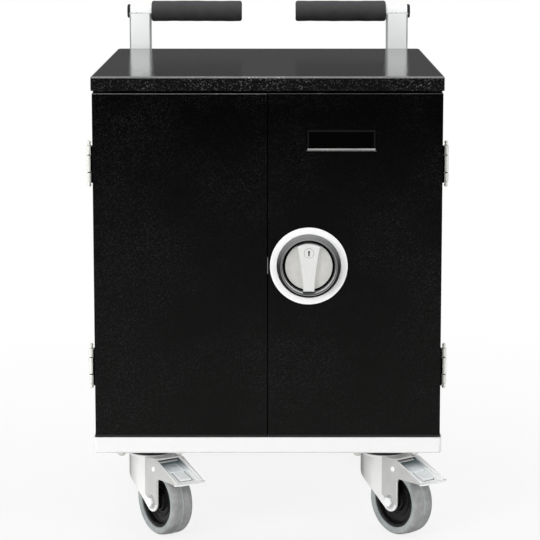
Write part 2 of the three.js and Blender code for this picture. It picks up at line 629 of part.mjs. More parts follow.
// Turning knob: disc, tapered grip bar with the key's seat, and the shaft through the door.
function lockKnob() {
  const back = KNOB_PROUD - KNOB_THICKNESS;
  const top = KNOB_PROUD + KNOB_BAR_HEIGHT;
  const plate = lockTurned([
    [0, back], [KNOB_RADIUS, back], [KNOB_RADIUS, KNOB_PROUD - KNOB_CHAMFER],
    [KNOB_RADIUS - KNOB_CHAMFER, KNOB_PROUD], [0, KNOB_PROUD],
  ], LOCK_SIDES);
  const taper = outline([
    [LOCK_X - KNOB_BAR_WIDE / 2, LOCK_Z + KNOB_RADIUS],
    [LOCK_X - KNOB_BAR_NARROW / 2, LOCK_Z - KNOB_RADIUS],
    [LOCK_X + KNOB_BAR_NARROW / 2, LOCK_Z - KNOB_RADIUS],
    [LOCK_X + KNOB_BAR_WIDE / 2, LOCK_Z + KNOB_RADIUS],
  ]);
  const round = cylinder(
    'y', [LOCK_X, 0, LOCK_Z], KNOB_RADIUS, [FRONT_Y - top - PAST, FRONT_Y], LOCK_SIDES,
  );
  const depth = [FRONT_Y - top, FRONT_Y - KNOB_PROUD + KNOB_THICKNESS / 2];
  const bar = extrude(taper, 'y', depth).intersect(round);
  const end = FRONT_Y - CASE_BACK_Y - CASE_WALL;
  const shaft = lockTurned([
    [0, back + PAST], [KNOB_SHAFT_RADIUS, back + PAST], [KNOB_SHAFT_RADIUS, end], [0, end],
  ], SHAFT_SIDES);
  const seatRadius = KEY_RADIUS + SEAT_GAP;
  const seat = lockTurned([
    [0, top - KEY_DEPTH], [seatRadius, top - KEY_DEPTH], [seatRadius, top + PAST], [0, top + PAST],
  ], KEY_SIDES, LOCK_Z + KEY_OFFSET);
  return cut(join(plate, bar, shaft), seat);
}

function keyCylinder() {
  const top = KNOB_PROUD + KNOB_BAR_HEIGHT + KEY_STAND;
  const bottom = KNOB_PROUD + KNOB_BAR_HEIGHT - KEY_DEPTH + SEAT_GAP;
  const z = LOCK_Z + KEY_OFFSET;
  const plug = lockTurned([[0, bottom], [KEY_RADIUS, bottom], [KEY_RADIUS, top], [0, top]], KEY_SIDES, z);
  const keyhole = roundedRectangle(
    [LOCK_X - KEYHOLE_WIDTH / 2, LOCK_X + KEYHOLE_WIDTH / 2],
    [z - KEYHOLE_LENGTH / 2, z + KEYHOLE_LENGTH / 2],
    KEYHOLE_WIDTH / 2 - ROUND_END,
  );
  return cut(plug, extrude(keyhole, 'y', [FRONT_Y - top - PAST, FRONT_Y - top + KEYHOLE_DEPTH], 2));
}

// Half the angle that a pinion tooth fills at a radius, along its involute flank.
function toothHalfAngle(radius) {
  const pressure = radians(GEAR_PRESSURE);
  const base = PITCH_RADIUS * Math.cos(pressure);
  const local = Math.acos(Math.min(base / radius, 1));
  const involute = (angle) => Math.tan(angle) - angle;
  const atPitch = Math.PI / (2 * GEAR_TEETH) - GEAR_BACKLASH / 2 / PITCH_RADIUS;
  return atPitch + involute(pressure) - involute(local);
}

function lockPinion() {
  const base = PITCH_RADIUS * Math.cos(radians(GEAR_PRESSURE));
  const tip = PITCH_RADIUS + GEAR_ADDENDUM;
  const radii = [PITCH_RADIUS - GEAR_DEDENDUM, base, PITCH_RADIUS, tip];
  const flank = radii.map((r) => [r, toothHalfAngle(r)]);
  const points = [];
  for (let tooth = 0; tooth < GEAR_TEETH; tooth += 1) {
    const middle = (tooth * 2 * Math.PI) / GEAR_TEETH;
    const rising = flank.map(([r, half]) => [r, middle - half]);
    const falling = flank.map(([r, half]) => [r, middle + half]).reverse();
    for (const [r, angle] of [...rising, ...falling]) {
      points.push([LOCK_X + r * Math.cos(angle), LOCK_Z + r * Math.sin(angle)]);
    }
  }
  const back = CASE_BACK_Y - RUNNING_GAP;
  const wheel = extrude(outline(points), 'y', [back - GEAR_THICKNESS, back]);
  const bore = KNOB_SHAFT_RADIUS + SEAT_GAP;
  return cut(wheel, cylinder('y', [LOCK_X, 0, LOCK_Z], bore, [FRONT_Y, FRONT_Y + DOOR_DEPTH], SHAFT_SIDES));
}

// Locking rod with rack teeth beside the pinion: side +1 is the upper rod, -1 the lower.
function lockRod(side) {
  const slope = Math.tan(radians(GEAR_PRESSURE));
  const halfAtPitch = RACK_PITCH / 4 - GEAR_BACKLASH / 2;
  const halfAtTip = halfAtPitch - GEAR_ADDENDUM * slope;
  const halfAtRoot = halfAtPitch + GEAR_DEDENDUM * slope;
  const tail = -(ROD_TAIL_TEETH + 0.5) * RACK_PITCH;
  const tip = side > 0 ? DOOR_TOP - ROD_RECESS - LOCK_Z : LOCK_Z - DOOR_BOTTOM - ROD_RECESS;
  const rack = [[ROD_INNER, tail]];
  for (let tooth = -ROD_TAIL_TEETH; tooth < ROD_LEAD_TEETH; tooth += 1) {
    const middle = (tooth + 0.5) * RACK_PITCH;
    rack.push([ROD_INNER, middle - halfAtRoot], [PITCH_RADIUS - GEAR_ADDENDUM, middle - halfAtTip]);
    rack.push([PITCH_RADIUS - GEAR_ADDENDUM, middle + halfAtTip], [ROD_INNER, middle + halfAtRoot]);
  }
  const bar = [...rack, [ROD_INNER, tip], [ROD_INNER + ROD_WIDTH, tip], [ROD_INNER + ROD_WIDTH, tail]];
  return extrude(outline(bar.map(([u, v]) => [LOCK_X + side * u, LOCK_Z + side * v])), 'y', ROD_Y);
}

// Case that holds the pinion's shaft end and guides the rods, open towards the door's skin.
function gearCase() {
  const outer = CASE_INNER_X + CASE_WALL;
  const z = [LOCK_Z - CASE_HEIGHT / 2, LOCK_Z + CASE_HEIGHT / 2];
  const y = [FRONT_Y + SHEET + SEAT_GAP, CASE_BACK_Y + CASE_WALL];
  const block = box([LOCK_X - outer, LOCK_X + outer], y, z);
  const channel = box(
    [LOCK_X - CASE_INNER_X, LOCK_X + CASE_INNER_X],
    [FRONT_Y, CASE_BACK_Y],
    [z[0] - PAST, z[1] + PAST],
  );
  const bore = KNOB_SHAFT_RADIUS + RUNNING_GAP;
  const hole = cylinder('y', [LOCK_X, 0, LOCK_Z], bore, [FRONT_Y, FRONT_Y + DOOR_DEPTH], SHAFT_SIDES);
  return cut(block, channel, hole);
}

// Right handle: a square upright on the back, with a round tube welded across its top.
function handleFrame() {
  const x = [UPRIGHT_OUTER_X - UPRIGHT_WIDTH, UPRIGHT_OUTER_X];
  const y = [UPRIGHT_Y - UPRIGHT_DEPTH / 2, UPRIGHT_Y + UPRIGHT_DEPTH / 2];
  const top = TUBE_Z - TUBE_RADIUS + TUBE_SADDLE;
  const wall = UPRIGHT_WALL;
  const post = cut(
    extrude(roundedRectangle(x, y, UPRIGHT_CORNER), 'z', [top - UPRIGHT_LENGTH, top], 3),
    box(
      [x[0] + wall, x[1] - wall],
      [y[0] + wall, y[1] - wall],
      [top - UPRIGHT_LENGTH - PAST, top - TUBE_SADDLE - wall],
    ),
  );
  const centre = [0, UPRIGHT_Y, TUBE_Z];
  const tube = cylinder('x', centre, TUBE_RADIUS, [TUBE_INNER_X, TUBE_OUTER_X], TUBE_SIDES);
  const through = [TUBE_INNER_X - PAST, TUBE_OUTER_X + PAST];
  const bore = cylinder('x', centre, TUBE_RADIUS - TUBE_WALL, through, TUBE_SIDES);
  return cut(join(post, tube), bore);
}

function handleGrip() {
  const [from, to] = [TUBE_INNER_X, TUBE_INNER_X + GRIP_LENGTH];
  const bore = TUBE_RADIUS + SEAT_GAP;
  const soft = GRIP_ROUND * (1 - Math.SQRT1_2);
  return turned([
    [bore, from], [GRIP_RADIUS - GRIP_ROUND, from], [GRIP_RADIUS - soft, from + soft],
    [GRIP_RADIUS, from + GRIP_ROUND], [GRIP_RADIUS, to - GRIP_ROUND], [GRIP_RADIUS - soft, to - soft],
    [GRIP_RADIUS - GRIP_ROUND, to], [bore, to],
  ], 'x', [0, UPRIGHT_Y, TUBE_Z], GRIP_SIDES);
}

// Castor pieces, with the kingpin on x = y = 0 and the wheel trailing towards +X.

// Top plate, bearing and kingpin, which stay with the cart. The plate lies square to the cart.
function castorPlate() {
  const [a, b] = [PLATE_LENGTH / 2, PLATE_WIDTH / 2];
  const corners = roundedRectangle([-a, a], [-b, b], PLATE_CORNER);
  const plate = extrude(corners, 'z', [PLATE_BOTTOM, PLATE_BOTTOM + PLATE_THICKNESS], 1);
  const boltPlaces = [-1, 1].flatMap((u) => [-1, 1].map(
    (v) => [(u * PLATE_BOLT_X) / 2, (v * PLATE_BOLT_Y) / 2, PLATE_BOTTOM],
  ));
  const through = [-PAST, PLATE_THICKNESS + PAST];
  const holes = boltPlaces.map((place) => cylinder('z', place, PLATE_BOLT_HOLE, through, 6));
  const foot = CROWN_TOP + RUNNING_GAP;
  const skirtTop = foot + BEARING_SKIRT_HEIGHT;
  const nutTop = CROWN_BOTTOM - RUNNING_GAP;
  const middle = [0, 0, 0];
  const bearing = turned([
    [0, foot], [BEARING_RADIUS - BEARING_EDGE, foot], [BEARING_RADIUS, foot + BEARING_EDGE],
    [BEARING_RADIUS, skirtTop], [BEARING_NECK_RADIUS, skirtTop + BEARING_EDGE],
    [BEARING_NECK_RADIUS, PLATE_BOTTOM + PAST], [0, PLATE_BOTTOM + PAST],
  ], 'z', middle, BEARING_SIDES);
  const kingpin = cylinder('z', middle, KINGPIN_RADIUS, [nutTop - PAST, foot + PAST], PIN_SIDES);
  const nut = cylinder('z', middle, KINGPIN_NUT_RADIUS, [nutTop - KINGPIN_NUT_HEIGHT, nutTop], 6);
  return join(cut(plate, ...holes), bearing, kingpin, nut);
}

// Side view of the fork: crown, brake arm, arch, leg round the axle and the sloping back.
function forkProfile(arms) {
  const back = -FORK_BACK_REACH - FORK_OUTER - PAST;
  const legFront = CASTOR_TRAIL + FORK_LEG_FRONT;
  const shape = new THREE.Shape();
  shape.moveTo(back, CROWN_TOP);
  shape.lineTo(CROWN_REACH, CROWN_TOP);
  if (arms) {
    shape.lineTo(ARM_REACH - ARM_NOSE / 2, ARM_BOTTOM + ARM_NOSE);
    shape.lineTo(ARM_REACH, ARM_BOTTOM);
    shape.lineTo(legFront + FORK_ARCH_RADIUS, ARM_BOTTOM);
  } else {
    shape.lineTo(legFront + FORK_ARCH_RADIUS, CROWN_TOP - FORK_ARCH_RADIUS);
  }
  const archX = legFront + FORK_ARCH_RADIUS;
  shape.absarc(archX, ARM_BOTTOM - FORK_ARCH_RADIUS, FORK_ARCH_RADIUS, Math.PI / 2, Math.PI);
  shape.absarc(CASTOR_TRAIL, AXLE_Z, FORK_TIP_RADIUS, 0, radians(FORK_TIP_END), true);
  shape.lineTo(back, CROWN_TOP - FORK_BACK_DEPTH);
  return shape;
}

// Plan of the fork's wall: round behind the kingpin, straight along both legs.
function forkPlan(halfWidth, reach) {
  const shape = new THREE.Shape();
  shape.moveTo(reach, halfWidth);
  shape.lineTo(-FORK_BACK_REACH, halfWidth);
  shape.absarc(-FORK_BACK_REACH, 0, halfWidth, Math.PI / 2, Math.PI * 1.5);
  shape.lineTo(reach, -halfWidth);
  return shape;
}

function castorFork(arms) {
  const height = [AXLE_Z - 2 * FORK_TIP_RADIUS, CROWN_TOP];
  const across = [-FORK_OUTER - PAST, FORK_OUTER + PAST];
  const wall = cut(
    extrude(forkPlan(FORK_OUTER, ARM_REACH + PAST), 'z', height, 4),
    extrude(forkPlan(FORK_INNER, ARM_REACH + 2 * PAST), 'z', [height[0] - PAST, height[1] + PAST], 4),
  ).intersect(extrude(forkProfile(arms), 'y', across, 3));
  const crownPlan = forkPlan(FORK_OUTER - FORK_SHEET / 2, CROWN_REACH - FORK_SHEET);
  const crown = extrude(crownPlan, 'z', [CROWN_BOTTOM, CROWN_TOP], 4);
  const kingpinBore = KINGPIN_RADIUS + RUNNING_GAP;
  const up = [CROWN_BOTTOM - PAST, CROWN_TOP + PAST];
  const kingpinHole = cylinder('z', [0, 0, 0], kingpinBore, up, PIN_SIDES);
  const axleHole = cylinder('y', [CASTOR_TRAIL, 0, AXLE_Z], AXLE_RADIUS + SEAT_GAP, across, PIN_SIDES);
  const body = cut(join(wall, crown), kingpinHole, axleHole);
  const pivot = [PEDAL_PIVOT_REACH, 0, PEDAL_PIVOT_Z];
  return arms ? cut(body, cylinder('y', pivot, PEDAL_PIN_RADIUS + RUNNING_GAP, across, PIN_SIDES)) : body;
}

function castorAxle() {
  const seat = FORK_OUTER + SEAT_GAP;
  const centre = [CASTOR_TRAIL, 0, AXLE_Z];
  const end = seat + AXLE_HEAD_HEIGHT;
  return join(
    cylinder('y', centre, AXLE_RADIUS, [-seat - PAST, seat + PAST], PIN_SIDES),
    cylinder('y', centre, AXLE_HEAD_RADIUS, [-end, -seat], 6),
    cylinder('y', centre, AXLE_HEAD_RADIUS, [seat, end], 6),
  );
}

// A turned profile that is the same on both sides of the wheel's middle plane.
const bothSides = (half) => [...half, ...half.map(([r, t]) => [r, -t]).reverse()];

function castorHub() {
  const rimHalf = WHEEL_WIDTH / 2 - HUB_RIM_INSET;
  const bossHalf = FORK_INNER - RUNNING_GAP;
  const rim = HUB_RADIUS - SEAT_GAP;
  return turned(bothSides([
    [rim, rimHalf], [rim - HUB_RIM_WALL, rimHalf], [rim - 2 * HUB_RIM_WALL, HUB_WEB_HALF],
    [HUB_BOSS_RADIUS + HUB_BOSS_FOOT, HUB_WEB_HALF + HUB_BOSS_FOOT], [HUB_BOSS_RADIUS, bossHalf],
    [AXLE_RADIUS + RUNNING_GAP, bossHalf],
  ]), 'y', [CASTOR_TRAIL, 0, AXLE_Z], HUB_SIDES);
}

// The tread's facets touch the circle of the wheel's radius, one of them flat on the floor.
function castorTyre() {
  const halfFacet = Math.PI / TYRE_SIDES;
  const grow = 1 / Math.cos(halfFacet);
  const half = WHEEL_WIDTH / 2;
  const tread = WHEEL_RADIUS * grow;
  const shoulder = tread - TYRE_CROWN;
  const bead = HUB_RADIUS * grow;
  return turned(bothSides([
    [tread, half - 3 * TYRE_SHOULDER], [shoulder, half - 1.2 * TYRE_SHOULDER],
    [shoulder - TYRE_SHOULDER, half], [bead + TYRE_BEAD, half], [bead, half - TYRE_BEAD / 3],
  ]), 'y', [CASTOR_TRAIL, 0, AXLE_Z], TYRE_SIDES, halfFacet);
}

// Brake pedal: a sloping plate between the arms with a raised tongue, a wide lip and its pivot pin.
function brakePedal() {
  const reach = Math.hypot(ARM_REACH - PEDAL_PIVOT_REACH, PEDAL_PIVOT_Z - ARM_BOTTOM);
  const neck = reach + PEDAL_LIP_GAP;
  const half = FORK_INNER - RUNNING_GAP;
  const shape = new THREE.Shape();
  shape.moveTo(-PEDAL_TAIL, -half);
  shape.lineTo(neck, -half);
  const lip = neck + PEDAL_LIP_FLARE;
  shape.lineTo(lip, -PEDAL_LIP_HALF_WIDTH);
  shape.quadraticCurveTo(neck + PEDAL_LIP_LENGTH * PEDAL_LIP_BULGE, 0, lip, PEDAL_LIP_HALF_WIDTH);
  shape.lineTo(neck, half);
  shape.lineTo(-PEDAL_TAIL, half);
  const plate = extrude(shape, 'z', [-PEDAL_SHEET / 2, PEDAL_SHEET / 2], 8);
  const tongue = box(
    [PEDAL_BOSS_START, PEDAL_BOSS_START + PEDAL_BOSS_LENGTH],
    [-PEDAL_BOSS_HALF_WIDTH, PEDAL_BOSS_HALF_WIDTH],
    [0, PEDAL_SHEET / 2 + PEDAL_BOSS_HEIGHT],
  );
  const pinHalf = FORK_OUTER + PEDAL_PIN_STAND;
  const pin = cylinder('y', [0, 0, 0], PEDAL_PIN_RADIUS, [-pinHalf, pinHalf], PIN_SIDES);
  const tipped = toGeometry(join(plate, tongue, pin)).rotateY(radians(PEDAL_SLOPE));
  return toSolid(tipped.translate(PEDAL_PIVOT_REACH, 0, PEDAL_PIVOT_Z));
}

// Shelf between the two levels, with folded edges.
function midShelf() {
  const front = FRAME_Y + SHEET + SHELF_SET_BACK;
  const back = BACK_Y - CABLE_SPACE;
  const wide = [-INNER_X, INNER_X];
  const bottom = SHELF_Z - SHELF_LIP;
  return cut(
    box(wide, [front, back], [bottom, SHELF_Z]),
    box([SHEET - INNER_X, INNER_X - SHEET], [front + SHEET, back + PAST], [bottom - PAST, SHELF_Z - SHEET]),
  );
}

// Rack of upright dividers on a base plate that lies on a floor at the given height.
function dividerRack(floor) {
  const front = FRAME_Y + SHEET + RACK_SET_BACK;
  const bottom = floor + SEAT_GAP;
  const half = (SLOT_COUNT * SLOT_PITCH + DIVIDER_THICKNESS) / 2;
  const shape = new THREE.Shape();
  shape.moveTo(front, bottom);
  shape.lineTo(front + DIVIDER_DEPTH, bottom);
  shape.lineTo(front + DIVIDER_DEPTH, bottom + DIVIDER_HEIGHT);
  const round = DIVIDER_ROUND;
  shape.absarc(front + round, bottom + DIVIDER_HEIGHT - round, round, Math.PI / 2, Math.PI);
  const dividers = [];
  for (let i = 0; i <= SLOT_COUNT; i += 1) {
    const x = i * SLOT_PITCH - half;
    dividers.push(extrude(shape, 'x', [x, x + DIVIDER_THICKNESS], 2));
  }
  const base = box([-half, half], [front, front + DIVIDER_DEPTH], [bottom, bottom + DIVIDER_BASE]);
  return join(base, ...dividers);
}

// Strip of round power sockets on the inside of the back panel.
function powerStrip() {
  const y = [BACK_Y - SHEET - SEAT_GAP - STRIP_DEPTH, BACK_Y - SHEET - SEAT_GAP];
  const z = [LID_BOTTOM - STRIP_BELOW_LID - STRIP_HEIGHT, LID_BOTTOM - STRIP_BELOW_LID];
  const body = box([-STRIP_LENGTH / 2, STRIP_LENGTH / 2], y, z);
  const sockets = Array.from({ length: SOCKET_COUNT }, (_, i) => cylinder(
    'y',
    [(i - (SOCKET_COUNT - 1) / 2) * SOCKET_PITCH, 0, (z[0] + z[1]) / 2],
    SOCKET_RADIUS,
    [y[0] - PAST, y[0] + SOCKET_DEPTH],
    SOCKET_SIDES,
  ));
  return cut(body, ...sockets);
}

// Power inlet in the back panel: a flanged shell with three contacts in its recess.
function powerInlet() {
  const z = BASE_TOP + INLET_ABOVE_BASE;
  const [w, h] = [INLET_WIDTH / 2, INLET_HEIGHT / 2];
  const face = BACK_Y + SEAT_GAP;
  const flange = box(
    [INLET_X - w - INLET_FLANGE, INLET_X + w + INLET_FLANGE],
    [face, face + INLET_FLANGE_THICKNESS],
    [z - h - INLET_FLANGE, z + h + INLET_FLANGE],
  );
  const body = box([INLET_X - w, INLET_X + w], [face - INLET_DEPTH, face + PAST], [z - h, z + h]);
  const mouth = face + INLET_FLANGE_THICKNESS;
  const recess = box(
    [INLET_X - w + INLET_WALL, INLET_X + w - INLET_WALL],
    [mouth - INLET_RECESS, mouth + PAST],
    [z - h + INLET_WALL, z + h - INLET_WALL],
  );
  const pins = [-1, 0, 1].map((i) => {
    const x = INLET_X + i * INLET_PIN_PITCH;
    const middle = z + (i === 0 ? 1 : -1) * INLET_PIN[1] / 2;
    return box(
      [x - INLET_PIN[0] / 2, x + INLET_PIN[0] / 2],
      [mouth - INLET_RECESS - PAST, mouth - INLET_PIN_SET_BACK],
      [middle - INLET_PIN[1] / 2, middle + INLET_PIN[1] / 2],
    );
  });
  return join(cut(join(flange, body), recess), ...pins);
}

// Assembly
const cart = new THREE.Group();

function add(name, solid, material, group = cart) {
  const mesh = new THREE.Mesh(toGeometry(solid), material);
  mesh.name = name;
  group.add(mesh);
}

add('base_tray', baseTray(), whitePaint);
add('floor_panel', floorPanel(), blackPaint);
add('right_side_panel', sidePanel(), blackPaint);
add('left_side_panel', mirrored(sidePanel()), blackPaint);
add('back_panel', backPanel(), blackPaint);
add('top_lid', topLid(), blackPaint);
add('right_door', rightDoor(), blackPaint);
add('left_door', mirrored(doorPan()), blackPaint);

for (const [level, rise] of [['lower', HINGE_LOW], ['upper', HINGE_HIGH]]) {
  const z = DOOR_BOTTOM + rise;
  add(`right_${level}_hinge_frame_leaf`, frameLeaf(z), blackPaint);
  add(`right_${level}_hinge_door_leaf`, doorLeaf(z), blackPaint);
  add(`right_${level}_hinge_pin`, hingePin(z), steel);
  add(`left_${level}_hinge_frame_leaf`, mirrored(frameLeaf(z)), blackPaint);
  add(`left_${level}_hinge_door_leaf`, mirrored(doorLeaf(z)), blackPaint);
  add(`left_${level}_hinge_pin`, mirrored(hingePin(z)), steel);
}

add('lock_ring', lockRing(), whitePaint);
add('lock_collar', lockCollar(), collarGrey);
add('lock_knob', lockKnob(), steel);
add('key_cylinder', keyCylinder(), steel);
add('lock_pinion', lockPinion(), steel);
add('upper_lock_rod', lockRod(1), zinc);
add('lower_lock_rod', lockRod(-1), zinc);
add('lock_gear_case', gearCase(), zinc);

add('right_handle_frame', handleFrame(), zinc);
add('left_handle_frame', mirrored(handleFrame()), zinc);
add('right_handle_grip', handleGrip(), foam);
add('left_handle_grip', mirrored(handleGrip()), foam);

// Each castor's plate stands square to the cart, and the rest is turned to its heading.
function addCastor(name, side, y, heading, braked) {
  const place = new THREE.Group();
  place.position.set(side * (BASE_X - CASTOR_INSET_X), y, 0);
  cart.add(place);
  const swivel = new THREE.Group();
  swivel.rotation.z = radians(heading);
  place.add(swivel);
  add(`${name}_castor_plate`, castorPlate(), zinc, place);
  add(`${name}_castor_fork`, castorFork(braked), zinc, swivel);
  add(`${name}_castor_axle`, castorAxle(), steel, swivel);
  add(`${name}_wheel_hub`, castorHub(), blackPlastic, swivel);
  add(`${name}_tyre`, castorTyre(), tyreRubber, swivel);
  if (braked) add(`${name}_brake_pedal`, brakePedal(), zinc, swivel);
}

const FRONT_CASTOR_Y = FRONT_Y + CASTOR_INSET_Y;
const REAR_CASTOR_Y = BACK_Y - CASTOR_INSET_Y;
addCastor('front_left', -1, FRONT_CASTOR_Y, FRONT_LEFT_HEADING, true);
addCastor('front_right', 1, FRONT_CASTOR_Y, FRONT_RIGHT_HEADING, true);
addCastor('rear_left', -1, REAR_CASTOR_Y, REAR_LEFT_HEADING, false);
addCastor('rear_right', 1, REAR_CASTOR_Y, REAR_RIGHT_HEADING, false);

add('mid_shelf', midShelf(), blackPaint);
add('lower_divider_rack', dividerRack(BASE_TOP), rackPlastic);
add('upper_divider_rack', dividerRack(SHELF_Z), rackPlastic);
add('power_strip', powerStrip(), blackPlastic);
add('power_inlet', powerInlet(), blackPlastic);

export default cart;
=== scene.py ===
# %% [markdown]
# # A laptop charging cart, piece by piece
# The cart is a black steel cupboard on castors, with a round turning lock and two foam push grips.
# The measured model of it is loaded first as a fixed frame. Every piece made here is drawn over that
# frame, in metres, with +Z up, and then tied to the body that it moves with.

# %% Load the frame
import json
import math
import random

import bmesh
import bpy
from mathutils import Matrix, Vector


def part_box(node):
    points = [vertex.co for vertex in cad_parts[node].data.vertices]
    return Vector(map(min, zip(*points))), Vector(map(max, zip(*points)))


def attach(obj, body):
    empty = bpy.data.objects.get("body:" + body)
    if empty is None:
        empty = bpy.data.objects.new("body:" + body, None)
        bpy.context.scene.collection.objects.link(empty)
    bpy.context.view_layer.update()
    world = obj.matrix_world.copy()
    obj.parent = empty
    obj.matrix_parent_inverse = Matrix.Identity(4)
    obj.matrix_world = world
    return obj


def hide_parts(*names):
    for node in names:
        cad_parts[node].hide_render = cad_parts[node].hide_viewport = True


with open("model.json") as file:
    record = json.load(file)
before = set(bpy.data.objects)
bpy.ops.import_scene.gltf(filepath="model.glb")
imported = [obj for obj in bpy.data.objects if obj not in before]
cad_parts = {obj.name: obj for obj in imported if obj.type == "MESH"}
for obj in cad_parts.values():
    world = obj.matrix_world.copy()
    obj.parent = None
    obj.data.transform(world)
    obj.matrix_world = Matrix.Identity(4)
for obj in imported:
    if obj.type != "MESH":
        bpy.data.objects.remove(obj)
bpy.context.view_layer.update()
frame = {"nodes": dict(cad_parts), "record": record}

MM = 0.001
record = frame["record"]
body_of = {node: body for body, nodes in record["behaviour"]["bodies"].items() for node in nodes}

# %% [markdown]
# Sizes that several pieces share are written once, in millimetres. They come from the frame itself, so a
# screw or a trim strip made later lands where the measured piece is.

# %% Shared sizes
def span(node):
    """Lowest and highest corner of a measured piece, in millimetres."""
    low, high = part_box(node)
    return low / MM, high / MM

door_low, door_high = span("right_door")
TRAY_TOP = span("base_tray")[1].z
FRONT = door_low.y
BACK = span("back_panel")[1].y
SIDE = door_high.x
ring_low, ring_high = span("lock_ring")
LOCK = Vector(((ring_low.x + ring_high.x) / 2, FRONT, (ring_low.z + ring_high.z) / 2))
GRIP = sum(corner.z for corner in span("right_handle_grip")) / 2
print("lock centre", [round(v, 1) for v in LOCK], "door front at y", round(FRONT, 2))

# %% [markdown]
# Four small groups of shader nodes carry the effects that many finishes share: the grain of powder coat,
# the cloudy look of zinc plating, the skin of rubber and foam, and a share that grows with height. They
# could be painted by hand as pictures, but noise on Object coordinates needs no unwrapping and keeps its
# true size on every piece.

# %% Node groups for surface effects
def new_group(name, inputs, outputs):
    """An empty shader group with number inputs, given as name and value, and number outputs."""
    group = bpy.data.node_groups.new(name, "ShaderNodeTree")
    for label, value in inputs.items():
        socket = group.interface.new_socket(name=label, in_out="INPUT", socket_type="NodeSocketFloat")
        socket.default_value = value
    for label in outputs:
        group.interface.new_socket(name=label, in_out="OUTPUT", socket_type="NodeSocketFloat")
    return group, group.nodes.new("NodeGroupInput"), group.nodes.new("NodeGroupOutput")


def add_noise(tree, place, scale, detail, roughness=0.6):
    """A noise texture at a place; the scale is a number or the socket that drives it."""
    noise = tree.nodes.new("ShaderNodeTexNoise")
    noise.inputs["Detail"].default_value = detail
    noise.inputs["Roughness"].default_value = roughness
    tree.links.new(place, noise.inputs["Vector"])
    if isinstance(scale, (int, float)):
        noise.inputs["Scale"].default_value = scale
    else:
        tree.links.new(scale, noise.inputs["Scale"])
    return noise.outputs["Fac"]


def remap(tree, value, low, high, to_low=0.0, to_high=1.0):
    """Stretches the part of a value between low and high over a new range, and holds it there."""
    node = tree.nodes.new("ShaderNodeMapRange")
    node.inputs["From Min"].default_value = low
    node.inputs["From Max"].default_value = high
    node.inputs["To Min"].default_value = to_low
    node.inputs["To Max"].default_value = to_high
    tree.links.new(value, node.inputs["Value"])
    return node.outputs["Result"]


def combine(tree, operation, first, second):
    """A sum, product or the like of two values, each a number or a socket."""
    node = tree.nodes.new("ShaderNodeMath")
    node.operation = operation
    for socket, value in zip(node.inputs, (first, second)):
        if isinstance(value, (int, float)):
            socket.default_value = value
        else:
            tree.links.new(value, socket)
    return node.outputs[0]


def object_place(tree):
    return tree.nodes.new("ShaderNodeTexCoord").outputs["Object"]


grain, grain_in, grain_out = new_group(
    "Powder grain", {"Grains per metre": 700}, ["Height", "Grain", "Drift"])
place = object_place(grain)
fine = add_noise(grain, place, grain_in.outputs[0], 2.0, 0.7)
grain.links.new(fine, grain_out.inputs["Height"])
drift = add_noise(grain, place, 6.0, 3.0)
grain.links.new(drift, grain_out.inputs["Drift"])
patchy = combine(grain, "MULTIPLY", remap(grain, fine, 0.56, 0.8), remap(grain, drift, 0.4, 0.62, 0.25, 1.3))
grain.links.new(patchy, grain_out.inputs["Grain"])

plating, plating_in, plating_out = new_group(
    "Zinc plating", {"Clouds per metre": 45}, ["Cloud", "Tint", "Height"])
place = object_place(plating)
cloud = add_noise(plating, place, plating_in.outputs[0], 4.0, 0.65)
plating.links.new(remap(plating, cloud, 0.3, 0.7), plating_out.inputs["Cloud"])
tint = add_noise(plating, place, 14.0, 2.0)
plating.links.new(remap(plating, tint, 0.42, 0.68), plating_out.inputs["Tint"])
plating.links.new(add_noise(plating, place, 420.0, 2.0), plating_out.inputs["Height"])

skin, skin_in, skin_out = new_group("Rubber skin", {"Marks per metre": 260}, ["Height", "Tone"])
place = object_place(skin)
marks = add_noise(skin, place, skin_in.outputs[0], 5.0, 0.7)
skin.links.new(marks, skin_out.inputs["Height"])
tone = add_noise(skin, place, 38.0, 5.0, 0.7)
skin.links.new(remap(skin, tone, 0.32, 0.68), skin_out.inputs["Tone"])

rise, rise_in, rise_out = new_group("Height share", {"Low": 0, "High": 1}, ["Share"])
split = rise.nodes.new("ShaderNodeSeparateXYZ")
rise.links.new(object_place(rise), split.inputs["Vector"])
stretch = rise.nodes.new("ShaderNodeMapRange")
rise.links.new(split.outputs["Z"], stretch.inputs["Value"])
rise.links.new(rise_in.outputs["Low"], stretch.inputs["From Min"])
rise.links.new(rise_in.outputs["High"], stretch.inputs["From Max"])
rise.links.new(stretch.outputs["Result"], rise_out.inputs["Share"])
print("groups:", ", ".join(g.name for g in (grain, plating, skin, rise)))

# %% [markdown]
# A finish is one Principled shader with its plain values set on its own sockets. Where the real surface
# is not even, a group drives the colour between two tones, the roughness between two values, and a small
# bump. Everything else stays a plain number, which keeps each finish easy to repaint.

# %% Finish tools
def new_finish(name, colour, roughness, metallic=0.0, specular=0.5):
    material = bpy.data.materials.new(name)
    material.use_nodes = True
    shader = material.node_tree.nodes["Principled BSDF"]
    shader.inputs["Base Color"].default_value = (*colour, 1)
    shader.inputs["Roughness"].default_value = roughness
    shader.inputs["Metallic"].default_value = metallic
    shader.inputs["Specular IOR Level"].default_value = specular
    return material


